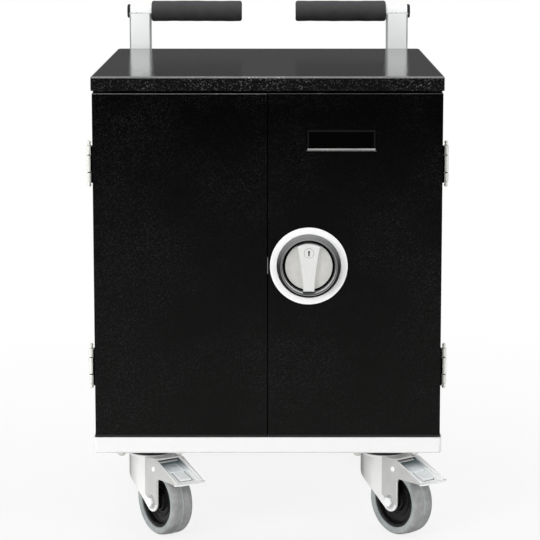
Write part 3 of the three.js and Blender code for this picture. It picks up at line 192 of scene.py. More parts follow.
def use_effect(material, group, setting, tone, second_colour, rough=None, bump=(0.2, 0.0003), share=1.0):
    """Lets a group vary a finish: tone picks the output that mixes in the second colour.

    rough names an output and the roughness at its 0 and 1. bump is a strength and a depth in metres.
    """
    tree = material.node_tree
    shader = tree.nodes["Principled BSDF"]
    effect = tree.nodes.new("ShaderNodeGroup")
    effect.node_tree = group
    effect.inputs[0].default_value = setting
    mix = tree.nodes.new("ShaderNodeMix")
    mix.data_type = "RGBA"
    colours = [s for s in mix.inputs if s.type == "RGBA"]
    colours[0].default_value = shader.inputs["Base Color"].default_value[:]
    for link in shader.inputs["Base Color"].links:
        tree.links.new(link.from_socket, colours[0])
    colours[1].default_value = (*second_colour, 1)
    tree.links.new(remap(tree, effect.outputs[tone], 0, 1, 0, share), mix.inputs["Factor"])
    result = [s for s in mix.outputs if s.type == "RGBA"][0]
    tree.links.new(result, shader.inputs["Base Color"])
    if rough:
        source, smooth, dull = rough
        roughness = remap(tree, effect.outputs[source], 0, 1, smooth, dull)
        tree.links.new(roughness, shader.inputs["Roughness"])
    relief = tree.nodes.new("ShaderNodeBump")
    relief.inputs["Strength"].default_value = bump[0]
    relief.inputs["Distance"].default_value = bump[1]
    tree.links.new(effect.outputs["Height"], relief.inputs["Height"])
    tree.links.new(relief.outputs["Normal"], shader.inputs["Normal"])
    return material


def run_colours(material, share, colours):
    """Runs a finish through evenly spaced colours as a share of the piece goes from 0 to 1."""
    tree = material.node_tree
    ramp = tree.nodes.new("ShaderNodeValToRGB")
    stops = ramp.color_ramp.elements
    for k in range(1, len(colours) - 1):
        stops.new(k / (len(colours) - 1))
    for stop, colour in zip(stops, colours):
        stop.color = (*colour, 1)
    tree.links.new(share, ramp.inputs["Fac"])
    tree.links.new(ramp.outputs["Color"], tree.nodes["Principled BSDF"].inputs["Base Color"])
    return material


def by_height(material, low, high, colours):
    """Colours that change from one height on the cart to another, in millimetres."""
    effect = material.node_tree.nodes.new("ShaderNodeGroup")
    effect.node_tree = rise
    effect.inputs["Low"].default_value = low * MM
    effect.inputs["High"].default_value = high * MM
    return run_colours(material, effect.outputs["Share"], colours)


def by_attribute(material, name, colours):
    """Colours that follow an attribute that the piece's own mesh carries."""
    attribute = material.node_tree.nodes.new("ShaderNodeAttribute")
    attribute.attribute_name = name
    return run_colours(material, attribute.outputs["Fac"], colours)


print("finish tools ready")

# %% [markdown]
# The blacks come first: powder coat on doors, panels and lid. The doors' black is painted paler toward the
# floor, a painted light that follows the height. Upward edges get a paler finish, a painted highlight.
# The tray and the lock's ring are white coat, and the collar's grey is painted darker downwards, a painted
# shade.

# %% Coats
# Painted light: the doors' black runs paler from 640 mm down to 200 mm above the floor.
door_black = by_height(new_finish("door black", (0.0026, 0.0026, 0.0026), 0.34, specular=0.03), 200, 640,
                       [(0.0066, 0.0066, 0.0063), (0.0039, 0.0039, 0.0038), (0.0005, 0.0005, 0.0005)])
use_effect(door_black, grain, 850, "Grain", (0.04, 0.04, 0.04), bump=(0.4, 0.0005))
# Painted highlight: a pale, speckled finish for eased edges that face upward.
painted_edge_highlight = use_effect(new_finish("edge black", (0.158, 0.158, 0.158), 0.32, specular=0.6),
                        grain, 420, "Grain", (0.8, 0.8, 0.8), bump=(0.3, 0.0006))
lid_top = use_effect(new_finish("lid top black", (0.0053, 0.0053, 0.0055), 0.11, specular=0.9),
                     grain, 420, "Grain", (0.092, 0.092, 0.092), bump=(0.3, 0.0005))
panel_black = use_effect(new_finish("panel black", (0.0066, 0.0066, 0.0068), 0.36, specular=0.3),
                         grain, 600, "Grain", (0.046, 0.046, 0.046), bump=(0.4, 0.0006))
lid_black = use_effect(new_finish("lid edge black", (0.0013, 0.0013, 0.0013), 0.28, specular=0.1),
                       grain, 440, "Grain", (0.18, 0.18, 0.18), bump=(0.8, 0.001))
tray_white = use_effect(new_finish("tray white", (0.822, 0.822, 0.818), 0.45, specular=0.4),
                        grain, 700, "Drift", (0.796, 0.796, 0.796), bump=(0.08, 0.0003))
ring_white = new_finish("ring white", (0.908, 0.908, 0.908), 0.35, specular=0.45)
# Painted shade: the collar's grey runs from nearly black at its foot to pale at its top.
collar_painted_shade = by_height(new_finish("collar painted shade", (0.132, 0.132, 0.132), 0.7, specular=0.0),
                        LOCK.z - 42, LOCK.z + 46,
                        [(0.0105, 0.0105, 0.0118), (0.039, 0.039, 0.041), (0.316, 0.318, 0.322)])
rim_grey = new_finish("rim grey", (0.3, 0.3, 0.3), 0.3, metallic=0.8)
plate_black = new_finish("plate black", (0.0012, 0.0012, 0.0012), 0.6, specular=0.0)
plate_edge = new_finish("plate edge", (0.0066, 0.0066, 0.0066), 0.4, specular=0.05)
painted_keyhole_shade = new_finish("painted keyhole shade", (0.002, 0.002, 0.002), 0.6, specular=0.1)
bore_black = new_finish("bore black", (0.006, 0.006, 0.006), 0.12, specular=0.6)
bore_chrome = new_finish("bore chrome", (0.72, 0.74, 0.76), 0.1, metallic=1.0)
print("coats:", door_black.name, lid_top.name, tray_white.name, ring_white.name)

# %% [markdown]
# Zinc plating is bright but cloudy, and never an even mirror. Plain steel is darker and more metallic. The
# fork's zinc is painted darker toward its rounded back, a painted shade that an attribute on its mesh marks,
# and the pedal's zinc is painted darker up under the tray, a painted shade over the teal tint of passivated
# zinc.

# %% Metals
disc_steel = use_effect(new_finish("disc steel", (0.78, 0.775, 0.74), 0.42, metallic=0.75),
                        plating, 90, "Cloud", (0.88, 0.87, 0.835), ("Cloud", 0.5, 0.38), bump=(0.08, 0.0002))
bar_silver = use_effect(new_finish("bar silver", (0.8, 0.8, 0.788), 0.5, metallic=0.5),
                        plating, 60, "Cloud", (0.84, 0.84, 0.827), bump=(0.04, 0.0002))
bright_steel = use_effect(new_finish("bright steel", (0.76, 0.76, 0.73), 0.28, metallic=0.85),
                          plating, 80, "Cloud", (0.7, 0.7, 0.67), ("Cloud", 0.24, 0.34), bump=(0.03, 0.0002))
barrel_steel = use_effect(new_finish("barrel steel", (0.93, 0.924, 0.87), 0.3, metallic=0.2),
                          plating, 60, "Cloud", (0.93, 0.924, 0.874), bump=(0.02, 0.0002))
handle_zinc = use_effect(new_finish("handle zinc", (0.94, 0.96, 0.955), 0.22, metallic=0.05),
                         plating, 40, "Tint", (0.93, 0.945, 0.935), ("Cloud", 0.28, 0.34), bump=(0.01, 0.0002))
castor_zinc = use_effect(new_finish("castor zinc", (0.93, 0.93, 0.92), 0.34, metallic=0.15),
                         plating, 35, "Cloud", (0.93, 0.93, 0.92), ("Cloud", 0.32, 0.42), bump=(0.03, 0.0002))
# Painted shade: the pedal's zinc turns dark from 88 to 110 mm up, under the tray; its teal tint is passivated
# zinc.
pedal_zinc = by_height(new_finish("pedal zinc", (0.93, 0.93, 0.93), 0.24, metallic=0.15), 88, 110,
                       [(0.92, 0.93, 0.93), (0.92, 0.93, 0.93), (0.875, 0.919, 0.93), (0.132, 0.171, 0.184)])
# Painted shade: the fork's zinc darkens toward its rounded back, read from the toward_back attribute.
fork_zinc = by_attribute(new_finish("fork zinc", (0.93, 0.93, 0.92), 0.34, metallic=0.15), "toward_back",
                         [(0.9, 0.9, 0.89), (0.86, 0.86, 0.85), (0.3, 0.3, 0.3), (0.184, 0.184, 0.184)])
use_effect(fork_zinc, plating, 35, "Cloud", (0.93, 0.93, 0.92), ("Cloud", 0.32, 0.42), (0.03, 0.0002), 0.2)
bracket_zinc = use_effect(new_finish("bracket zinc", (0.56, 0.56, 0.55), 0.36, metallic=0.3),
                          plating, 35, "Cloud", (0.62, 0.62, 0.61), ("Cloud", 0.32, 0.42), bump=(0.03, 0.0002))
weld_grey = use_effect(new_finish("weld grey", (0.395, 0.395, 0.388), 0.45, metallic=0.5),
                       plating, 200, "Cloud", (0.724, 0.724, 0.711), bump=(0.1, 0.0003))
rod_zinc = use_effect(new_finish("rod zinc", (0.66, 0.67, 0.65), 0.36, metallic=1.0),
                      plating, 50, "Cloud", (0.74, 0.75, 0.73), ("Cloud", 0.3, 0.44), bump=(0.06, 0.0003))
print("metals:", disc_steel.name, handle_zinc.name, fork_zinc.name, pedal_zinc.name)

# %% [markdown]
# Rubber, foam and plastic are matt and uneven. The foam is painted pale on top and dark below, a painted
# shade. The tyre's sides are a little paler than its tread.

# %% Rubber, foam and plastic
# Painted shade: the foam's colour runs from nearly black below the tube's middle to pale on top.
grip_foam = by_height(new_finish("grip foam", (0.053, 0.053, 0.054), 0.95, specular=0.06),
                      GRIP - 18, GRIP + 14,
                      [(0.0079, 0.0079, 0.0079), (0.034, 0.034, 0.035), (0.061, 0.061, 0.062),
                       (0.079, 0.079, 0.082)])
use_effect(grip_foam, skin, 700, "Tone", (0.099, 0.099, 0.101), bump=(1.0, 0.0012), share=0.25)
tyre_grey = use_effect(new_finish("tyre grey", (0.215, 0.219, 0.218), 0.72, specular=0.3),
                       skin, 330, "Tone", (0.39, 0.395, 0.39), bump=(0.3, 0.0004))
tyre_side = use_effect(new_finish("tyre side", (0.28, 0.304, 0.304), 0.7, specular=0.3),
                       skin, 300, "Tone", (0.41, 0.437, 0.437), bump=(0.25, 0.0004))
hub_black = use_effect(new_finish("hub black", (0.0053, 0.0053, 0.0055), 0.22, specular=0.22),
                       skin, 200, "Tone", (0.0092, 0.0092, 0.0092), bump=(0.05, 0.0003))
trim_black = use_effect(new_finish("trim black", (0.0105, 0.0105, 0.0105), 0.5, specular=0.3),
                        skin, 200, "Tone", (0.0158, 0.0158, 0.0158), bump=(0.1, 0.0003))
rack_grey = use_effect(new_finish("rack grey", (0.055, 0.059, 0.066), 0.55, specular=0.35),
                       grain, 800, "Drift", (0.072, 0.076, 0.083), bump=(0.15, 0.0004))
rocker_red = new_finish("rocker red", (0.45, 0.01, 0.008), 0.25, specular=0.5)
print(len([m for m in bpy.data.materials if m.use_nodes]), "finishes ready")

# %% [markdown]
# The first tool gives a finished shape its smooth shading and ties it to the body that it moves with.
# Weighted normals keep flats flat beside eased edges, which a plain smooth shading would smear.

# %% Finishing tool
def finish_piece(name, shape, materials, body, stands_for=(), crease=38):
    """Makes an object of a shape: joined corners, outward faces, even shading, tied to its body."""
    bmesh.ops.remove_doubles(shape, verts=shape.verts, dist=1e-6)
    bmesh.ops.recalc_face_normals(shape, faces=shape.faces)
    mesh = bpy.data.meshes.new(name)
    shape.to_mesh(mesh)
    shape.free()
    for material in materials:
        mesh.materials.append(material)
    mesh.shade_smooth()
    mesh.set_sharp_from_angle(angle=math.radians(crease))
    piece = bpy.data.objects.new(name, mesh)
    bpy.context.scene.collection.objects.link(piece)
    piece.modifiers.new("Even shading", "WEIGHTED_NORMAL").keep_sharp = True
    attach(piece, body)
    if stands_for:
        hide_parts(*stands_for)
    return piece


print("finishing tool ready")

# %% [markdown]
# Round pieces are turned, as on a lathe. A profile of radius and distance is softened at its corners, then
# swept round an axis. Each point can name a finish, so one turned piece can carry bands of several.

# %% Lathe
def soften(profile, radius, closed=False, steps=3):
    """Rounds the corners of a profile of (radius, along, finish) points."""
    points = [(*p, 0)[:3] for p in profile]
    result = []
    for i, (r, t, band) in enumerate(points):
        before, after = points[i - 1], points[(i + 1) % len(points)]
        if not closed and i in (0, len(points) - 1):
            result.append(points[i])
            continue
        corner = Vector((r, t))
        back, on = Vector(before[:2]) - corner, Vector(after[:2]) - corner
        cut = min(radius, 0.45 * back.length, 0.45 * on.length)
        start, end = corner + back.normalized() * cut, corner + on.normalized() * cut
        for k in range(steps + 1):
            s = k / steps
            p = start * (1 - s) ** 2 + corner * (2 * s * (1 - s)) + end * s ** 2
            result.append((p.x, p.y, band if k == steps else before[2]))
    return result


def turn(shape, profile, place, axis, sides=64, closed=False):
    """Sweeps a profile round an axis through a place. Each point's third number is its finish."""
    along = Vector(axis).normalized()
    across = along.orthogonal().normalized()
    third = along.cross(across)
    rings = []
    for radius, distance, *_ in profile:
        centre = Vector(place) + along * distance
        count = sides if radius > 1e-6 else 1
        spokes = [2 * math.pi * i / sides for i in range(count)]
        rings.append([
            shape.verts.new((centre + (across * math.cos(a) + third * math.sin(a)) * radius) * MM)
            for a in spokes
        ])
    pairs = list(zip(rings, rings[1:] + rings[:1]))
    for index, (a, b) in enumerate(pairs if closed else pairs[:-1]):
        for i in range(sides):
            j = (i + 1) % sides
            corners = [a[i % len(a)], a[j % len(a)], b[j % len(b)], b[i % len(b)]]
            face = shape.faces.new(list(dict.fromkeys(corners)))
            face.material_index = (*profile[index], 0)[2]


def mirrored(half):
    """A profile from the points on one side of its middle."""
    return half + [(r, -t) for r, t in reversed(half)]


print("lathe ready")

# %% [markdown]
# Blocks and sheets are cut to size, and their edges eased with a bevel, since no real edge is sharp. A
# sheet is any flat outline with a thickness, laid in place by a matrix. Sizes go in as millimetres.

# %% Blocks and sheets
def merge(shape, part, finish=0, matrix=Matrix.Identity(4)):
    """Adds a part, in millimetres, to a shape, in metres, after moving it by a matrix."""
    for face in part.faces if finish is not None else ():
        face.material_index = finish
    part.transform(Matrix.Scale(MM, 4) @ matrix)
    mesh = bpy.data.meshes.new("part")
    part.to_mesh(mesh)
    part.free()
    shape.from_mesh(mesh)
    bpy.data.meshes.remove(mesh)


def add_block(shape, low, high, rounding=0.5, finish=0, segments=2, matrix=Matrix.Identity(4)):
    """A box between two corners with eased edges."""
    part = bmesh.new()
    bmesh.ops.create_cube(part, size=1)
    low, high = Vector(low), Vector(high)
    for vert in part.verts:
        vert.co = Vector([low[i] + (high[i] - low[i]) * (vert.co[i] + 0.5) for i in range(3)])
    bmesh.ops.bevel(part, geom=part.edges[:], offset=rounding, segments=segments, profile=0.5, affect="EDGES")
    merge(shape, part, finish, matrix)


def add_sheet(shape, outline, low, high, matrix, rounding=0.4, finish=0, segments=2):
    """A flat outline given thickness, with both rims eased. The matrix lays it in place."""
    part = bmesh.new()
    base = part.faces.new([part.verts.new((u, v, low)) for u, v in outline])
    top = bmesh.ops.extrude_face_region(part, geom=[base])
    raised = [g for g in top["geom"] if isinstance(g, bmesh.types.BMVert)]
    bmesh.ops.translate(part, verts=raised, vec=(0, 0, high - low))
    bmesh.ops.recalc_face_normals(part, faces=part.faces)
    rims = [e for e in part.edges if abs(e.verts[0].co.z - e.verts[1].co.z) < 1e-6]
    bmesh.ops.bevel(part, geom=rims, offset=rounding, segments=segments, profile=0.5, affect="EDGES")
    merge(shape, part, finish, matrix)


def round_corners(points, radius, steps=4):
    """A closed outline with every corner rounded."""
    return [p[:2] for p in soften(points, radius, closed=True, steps=steps)]


def rectangle(low, high):
    return [(low[0], low[1]), (high[0], low[1]), (high[0], high[1]), (low[0], high[1])]


print("blocks and sheets ready")

# %% [markdown]
# Folded panels already have their full shape in the frame. A finished copy of one needs only its loose
# triangles joined into flats, its hard edges eased and its finish put on. The frame's own mesh is kept.

# %% Finished copies
def dress(node, material, rounding=0.5, hard=30, crease=38, edge=None, top=None):
    """A finished copy of a measured piece: flats made whole and hard edges eased.

    Upward edges may get a paler finish, a painted highlight, and upward faces a finish of their own.
    """
    shape = bmesh.new()
    shape.from_mesh(frame["nodes"][node].data)
    bmesh.ops.remove_doubles(shape, verts=shape.verts, dist=2e-6)
    bmesh.ops.dissolve_limit(shape, angle_limit=math.radians(0.5), verts=shape.verts, edges=shape.edges)
    sharp = [e for e in shape.edges if len(e.link_faces) == 2 and e.calc_face_angle(0) > math.radians(hard)]
    bmesh.ops.bevel(shape, geom=sharp, offset=rounding * MM, segments=2, profile=0.5, affect="EDGES",
                    clamp_overlap=True, material=1 if edge else -1)
    shape.normal_update()
    # Only edges facing upward keep the pale finish, a painted highlight; the rest take the main finish.
    for face in shape.faces:
        if edge and face.normal.z < 0.25:
            face.material_index = 0
        elif top and face.normal.z > 0.15:
            face.material_index = 2 if face.normal.z > 0.97 else 1
    finishes = [material, edge or material, top or material]
    return finish_piece(f"{node}.finished", shape, finishes, body_of[node], [node], crease)


print("panels can be dressed")

# %% [markdown]
# Screws, nuts and weld lumps repeat, so one Geometry Nodes tree places them. It takes a cloud of marks,
# each with a direction to face, and sets a head on every mark. The inputs are the head, how far each may
# be turned at random, how much sizes vary, and the finish. Copies made by hand would do too, but a tree
# lets one change reach them all.

# %% Fastener tree
def fastener_tree():
    tree = bpy.data.node_groups.new("Heads at marks", "GeometryNodeTree")
    sockets = {}
    for label, kind in (("Marks", "Geometry"), ("Head", "Object"), ("Largest turn", "Float"),
                        ("Size spread", "Float"), ("Finish", "Material")):
        sockets[label] = tree.interface.new_socket(
            name=label, in_out="INPUT", socket_type=f"NodeSocket{kind}").identifier
    tree.interface.new_socket(name="Fasteners", in_out="OUTPUT", socket_type="NodeSocketGeometry")
    names = {
        "start": "NodeGroupInput", "end": "NodeGroupOutput", "head": "GeometryNodeObjectInfo",
        "facing": "GeometryNodeInputNamedAttribute", "align": "FunctionNodeAlignRotationToVector",
        "low": "ShaderNodeMath", "turn": "FunctionNodeRandomValue", "spin": "FunctionNodeAxisAngleToRotation",
        "rotate": "FunctionNodeRotateRotation", "small": "ShaderNodeMath", "large": "ShaderNodeMath",
        "size": "FunctionNodeRandomValue", "place": "GeometryNodeInstanceOnPoints",
        "real": "GeometryNodeRealizeInstances", "paint": "GeometryNodeSetMaterial",
    }
    n = {key: tree.nodes.new(kind) for key, kind in names.items()}
    n["facing"].data_type = "FLOAT_VECTOR"
    n["facing"].inputs["Name"].default_value = "facing"
    n["align"].axis = "Z"
    n["low"].operation = "MULTIPLY"
    n["low"].inputs[1].default_value = -1
    n["small"].operation = "SUBTRACT"
    n["small"].inputs[0].default_value = 1
    n["large"].operation = "ADD"
    n["large"].inputs[0].default_value = 1
    n["rotate"].rotation_space = "LOCAL"
    n["turn"].data_type = n["size"].data_type = "FLOAT"
    n["size"].inputs["Seed"].default_value = 7

    def number(node, label, wanted="VALUE"):
        return [s for s in node.inputs if s.name == label and s.type == wanted and s.enabled][0]

    start = n["start"].outputs
    for source, target in (
        (start["Marks"], n["place"].inputs["Points"]),
        (start["Head"], n["head"].inputs["Object"]),
        (n["head"].outputs["Geometry"], n["place"].inputs["Instance"]),
        (n["facing"].outputs["Attribute"], n["align"].inputs["Vector"]),
        (start["Largest turn"], n["low"].inputs[0]),
        (n["low"].outputs[0], number(n["turn"], "Min")),
        (start["Largest turn"], number(n["turn"], "Max")),
        ([s for s in n["turn"].outputs if s.type == "VALUE"][0], n["spin"].inputs["Angle"]),
        (n["align"].outputs["Rotation"], n["rotate"].inputs["Rotation"]),
        (n["spin"].outputs["Rotation"], n["rotate"].inputs["Rotate By"]),
        (n["rotate"].outputs["Rotation"], n["place"].inputs["Rotation"]),
        (start["Size spread"], n["small"].inputs[1]),
        (start["Size spread"], n["large"].inputs[1]),
        (n["small"].outputs[0], number(n["size"], "Min")),
        (n["large"].outputs[0], number(n["size"], "Max")),
        ([s for s in n["size"].outputs if s.type == "VALUE"][0], n["place"].inputs["Scale"]),
        (n["place"].outputs["Instances"], n["real"].inputs["Geometry"]),
        (n["real"].outputs["Geometry"], n["paint"].inputs["Geometry"]),
        (start["Finish"], n["paint"].inputs["Material"]),
        (n["paint"].outputs["Geometry"], n["end"].inputs["Fasteners"]),
    ):
        tree.links.new(source, target)
    return tree, sockets


heads_tree, heads_socket = fastener_tree()
print("tree inputs:", ", ".join(heads_socket))

# %% [markdown]
# A head is modelled once, standing up from the origin, and stays out of the scene. Fastening sets it on
# all its marks, and keeps the result as one plain mesh for each body, because the export drops instances.

# %% Fastening
def new_head(name, build):
    """A head standing up from the origin, kept out of the scene until marks call for it."""
    shape = bmesh.new()
    build(shape)
    bmesh.ops.recalc_face_normals(shape, faces=shape.faces)
    mesh = bpy.data.meshes.new(name)
    shape.to_mesh(mesh)
    shape.free()
    mesh.shade_smooth()
    mesh.set_sharp_from_angle(angle=math.radians(38))
    return bpy.data.objects.new(name, mesh)


def fasten(name, head, marks, finish, body, largest_turn=math.pi, spread=0.0):
    """Sets a head on each (place, facing) mark and keeps the lot as one plain piece."""
    mesh = bpy.data.meshes.new(name)
    mesh.from_pydata([Vector(place) * MM for place, _ in marks], [], [])
    facing = mesh.attributes.new("facing", "FLOAT_VECTOR", "POINT")
    facing.data.foreach_set("vector", [c for _, way in marks for c in way])
    piece = bpy.data.objects.new(name, mesh)
    bpy.context.scene.collection.objects.link(piece)
    nodes = piece.modifiers.new("Heads", "NODES")
    nodes.node_group = heads_tree
    nodes[heads_socket["Head"]] = head
    nodes[heads_socket["Largest turn"]] = largest_turn
    nodes[heads_socket["Size spread"]] = spread
    nodes[heads_socket["Finish"]] = finish
    made = piece.evaluated_get(bpy.context.evaluated_depsgraph_get())
    piece.data = bpy.data.meshes.new_from_object(made)
    piece.modifiers.clear()
    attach(piece, body)
    print(name, "x", len(marks), "->", len(piece.data.polygons), "faces")
    return piece


print("ready to fasten")

# %% [markdown]
# Four heads are enough for the cart. Domed cap nuts hold the castor plates, button screws the back panel,
# and flat screws the hinges. A weld lump is one drop of a weld seam, and a row of them makes the seam.

# %% Heads
def hexagon(radius):
    return [(radius * math.cos(math.pi * k / 3), radius * math.sin(math.pi * k / 3)) for k in range(6)]


def build_cap_nut(shape):
    """Washer, hexagon and a domed cap."""
    turn(shape, soften([(0, 0), (8, 0), (8, 1.5), (0, 1.5)], 0.4), (0, 0, 0), (0, 0, 1), 40)
    add_sheet(shape, hexagon(7.3), 1.5, 6.2, Matrix.Identity(4), 0.5)
    dome = [(0, 10), (2.4, 9.7), (4.2, 8.7), (5.2, 7.3), (5.5, 6), (0, 6)]
    turn(shape, soften(dome, 0.4), (0, 0, 0), (0, 0, 1), 40)


def build_button_screw(shape):
    turn(shape, soften([(0, 0), (4, 0), (4, 0.7), (3, 1.9), (1.5, 2.1), (1.4, 0.9), (0, 0.8)], 0.4),
         (0, 0, 0), (0, 0, 1), 32)


def build_flat_screw(shape):
    turn(shape, soften([(0, -0.5), (3.3, -0.5), (3.3, 0.15), (1.5, 0.3), (1.2, -0.3), (0, -0.3)], 0.2),
         (0, 0, 0), (0, 0, 1), 28)


def build_weld_lump(shape):
    part = bmesh.new()
    bmesh.ops.create_icosphere(part, subdivisions=3, radius=1)
    merge(shape, part, matrix=Matrix.Diagonal((2.3, 1.9, 1.5, 1)))


cap_nut = new_head("cap nut", build_cap_nut)
button_screw = new_head("button screw head", build_button_screw)
flat_screw = new_head("flat screw head", build_flat_screw)
weld_lump = new_head("weld lump", build_weld_lump)
print("heads ready")

# %% [markdown]
# The cupboard is folded sheet steel. Folds are never knife-sharp, so each panel is a copy of the measured
# one with its edges eased, then powder coated. The coat on the lid is a little coarser and glossier than
# on the doors, because a lid gets the thicker coat. The racks inside are grey moulded plastic.

# %% Cupboard panels
for node in ("right_side_panel", "left_side_panel", "back_panel", "floor_panel", "mid_shelf"):
    dress(node, panel_black, 0.5)
for node in ("right_door", "left_door"):
    dress(node, door_black, 0.9, edge=painted_edge_highlight)
dress("top_lid", lid_black, 0.4, edge=painted_edge_highlight, top=lid_top)
dress("base_tray", tray_white, 1.1)
for node in ("lower_divider_rack", "upper_divider_rack"):
    dress(node, rack_grey, 0.6)

# %% [markdown]
# A black strip along each door's foot covers the gap over the tray, and a bright latch plate shows in the
# gap between them. The right door has a bare plate let into a shallow recess, with a bright strip along its
# lower edge, a painted highlight, and a thin raised border. All of it is plain blocks with eased edges.

# %% Trim on the doors
for side, sign in (("right", 1), ("left", -1)):
    # A black strip covers the gap between the door's foot and the tray.
    shape = bmesh.new()
    ends = sorted((sign * door_low.x, sign * (door_high.x + 0.6)))
    low = (ends[0], FRONT - 0.9, TRAY_TOP + 0.3)
    add_block(shape, low, (ends[1], FRONT + 3.4, door_low.z + 1.5), 0.6, segments=3)
    finish_piece(f"{side}_door_seal", shape, [trim_black], f"{side}_door")

shape = bmesh.new()
add_block(shape, (-0.45, FRONT + 0.6, LOCK.z - 12), (door_low.x + 0.1, FRONT + 11, LOCK.z + 12), 0.2)
finish_piece("latch_plate", shape, [rim_grey], "right_door")

PLATE_LEFT, PLATE_RIGHT, PLATE_FOOT, PLATE_TOP = 57, 156.5, 584.4, 614.2
left, right = PLATE_LEFT + 0.5, PLATE_RIGHT - 0.5
shape = bmesh.new()
add_block(shape, (PLATE_LEFT, FRONT + 0.15, PLATE_FOOT), (PLATE_RIGHT, FRONT + 0.9, PLATE_TOP), 0.35)
# Painted highlight: a bright zinc strip along the plate's lower edge.
line = (left, FRONT - 0.3, PLATE_FOOT - 0.2), (right, FRONT + 0.6, PLATE_FOOT + 2.4)
add_block(shape, *line, 0.5, finish=1, segments=3)
border = [((left, PLATE_TOP - 3.6), (right, PLATE_TOP - 0.4))]
border += [((x, PLATE_FOOT + 1.6), (x + 2.4, PLATE_TOP - 2.8)) for x in (left, right - 2.4)]
for (x0, z0), (x1, z1) in border:
    add_block(shape, (x0, FRONT - 0.1, z0), (x1, FRONT + 0.6, z1), 0.4, finish=2, segments=3)
finish_piece("blank_plate", shape, [plate_black, rod_zinc, plate_edge], "right_door")
print("trim fitted")

# %% [markdown]
# Each hinge is a pair of black leaves with a bright rolled barrel between them. The barrel is three
# knuckles on one pin, and the pin ends in small turned knobs. The end knuckles stay with the cupboard and
# the middle one goes with the door, so they are separate pieces.

# %% Hinges
LEAF_REACH, LEAF_BACK, LEAF_FACE = 20, 0.3, 2.3
KNUCKLE, KNUCKLE_BORE = 3.85, 2.4


def add_knuckle(shape, axis_place, low, high):
    ring = [(KNUCKLE_BORE, low), (KNUCKLE, low), (KNUCKLE, high), (KNUCKLE_BORE, high)]
    profile = soften(ring, 0.5, closed=True)
    turn(shape, profile, axis_place, (0, 0, 1), 40, closed=True)


leaf_marks = {"root": [], "right_door": [], "left_door": []}
for side, sign in (("right", 1), ("left", -1)):
    door = f"{side}_door"
    for level in ("lower", "upper"):
        hinge = f"{side}_{level}_hinge"
        pin_low, pin_high = span(f"{hinge}_pin")
        axis_x, axis_y = (pin_low.x + pin_high.x) / 2, (pin_low.y + pin_high.y) / 2
        middle = (pin_low.z + pin_high.z) / 2
        outer = sign * (SIDE + LEAF_FACE)
        for part, body, way in (("frame_leaf", "root", 1), ("door_leaf", door, -1)):
            low, high = span(f"{hinge}_{part}")
            shape = bmesh.new()
            near = sorted((axis_y + way * 1.75, axis_y + way * LEAF_REACH))
            corners = rectangle((near[0], low.z), (near[1], high.z))
            stand = Matrix(((0, 0, sign, 0), (1, 0, 0, 0), (0, 1, 0, 0), (0, 0, 0, 1)))
            add_sheet(shape, round_corners(corners, 2.5), SIDE + LEAF_BACK, SIDE + LEAF_FACE, stand, 0.4)
            knuckles = [(-26.25, -13.5), (13.5, 26.25)] if way > 0 else [(-12.0, 12.0)]
            for a, b in knuckles:
                web = sorted((axis_y, axis_y + way * 3.5))
                inner = sorted((sign * (SIDE + LEAF_BACK), axis_x - sign * 2))
                add_block(shape, (inner[0], web[0], middle + a), (inner[1], web[1], middle + b), 0.3)
                add_knuckle(shape, (axis_x, axis_y, middle), a, b)
            for face in shape.faces:
                spot = face.calc_center_median() / MM
                near_axis = math.hypot(spot.x - axis_x, spot.y - axis_y) < KNUCKLE + 0.05
                if near_axis and abs(spot.x) > abs(axis_x) - KNUCKLE - 0.05:
                    face.material_index = 1
            finish_piece(f"{hinge}_{part}_made", shape, [plate_black, barrel_steel], body,
                         [f"{hinge}_{part}"])
            leaf_marks[body] += [
                ((outer, axis_y + way * 13, middle + up), (sign, 0, 0)) for up in (-18, 0, 18)
            ]
        shape = bmesh.new()
        knob = [(0, 33.9), (1.6, 33.6), (2.7, 32.4), (2.95, 31), (2.6, 29.6), (1.9, 28.9), (1.9, 28.4),
                (2.9, 27.9), (2.9, 26.9)]
        # The pin's middle is black and shows only in the gaps between knuckles: painted shade in the gaps.
        profile = knob + [(2.3, 26.4, 1), (2.3, -26.4, 0)] + [(r, -t) for r, t in reversed(knob)]
        turn(shape, profile, (axis_x, axis_y, middle), (0, 0, 1), 40)
        finish_piece(f"{hinge}_pin_made", shape, [barrel_steel, trim_black], "root",
                     [f"{hinge}_pin"])
for body, marks in leaf_marks.items():
    fasten(f"hinge_screws_{body}", flat_screw, marks, bright_steel, body)

# %% [markdown]
# The lock is mostly lathe work. A white ring lies on the door, and a grey collar rises from it like a
# shallow cone. The collar's bore is polished, with a bright wall between two black bands, so the profile
# names a finish for each band.

# %% Lock ring and collar
OUT = (0, -1, 0)
shape = bmesh.new()
turn(shape, soften([(46.6, 0.3), (56.6, 0.3), (56.6, 3.3), (46.6, 3.3)], 1.0, closed=True), LOCK, OUT, 128,
     closed=True)
finish_piece("lock_ring_made", shape, [ring_white], "right_door", ["lock_ring"])

shape = bmesh.new()
profile = soften([
    (36.2, 0.3, 0), (46.3, 0.3, 0), (46.3, 3.6, 0), (44.6, 9.0, 0), (42.2, 18.6, 0), (41.7, 19.5, 1),
    (41.0, 19.9, 1), (40.4, 19.5, 2), (39.4, 17.6, 3), (36.3, 2.0, 2),
], 0.5, closed=True)
turn(shape, profile, LOCK, OUT, 128, closed=True)
finish_piece("lock_collar_made", shape, [collar_painted_shade, rim_grey, bore_black, bore_chrome], "right_door",
             ["lock_collar"])

print("ring and collar turned at", [round(v, 1) for v in LOCK])

# %% [markdown]
# The turning disc sits low in the bore, with a tapered bar across it to grip. The bar is a sheet outline
# with hollow sides and a round top, and the key cylinder sits in its wide end. Behind the door, the disc's
# shaft drives a pinion and two rods in a case, which are finished copies of the measured ones.

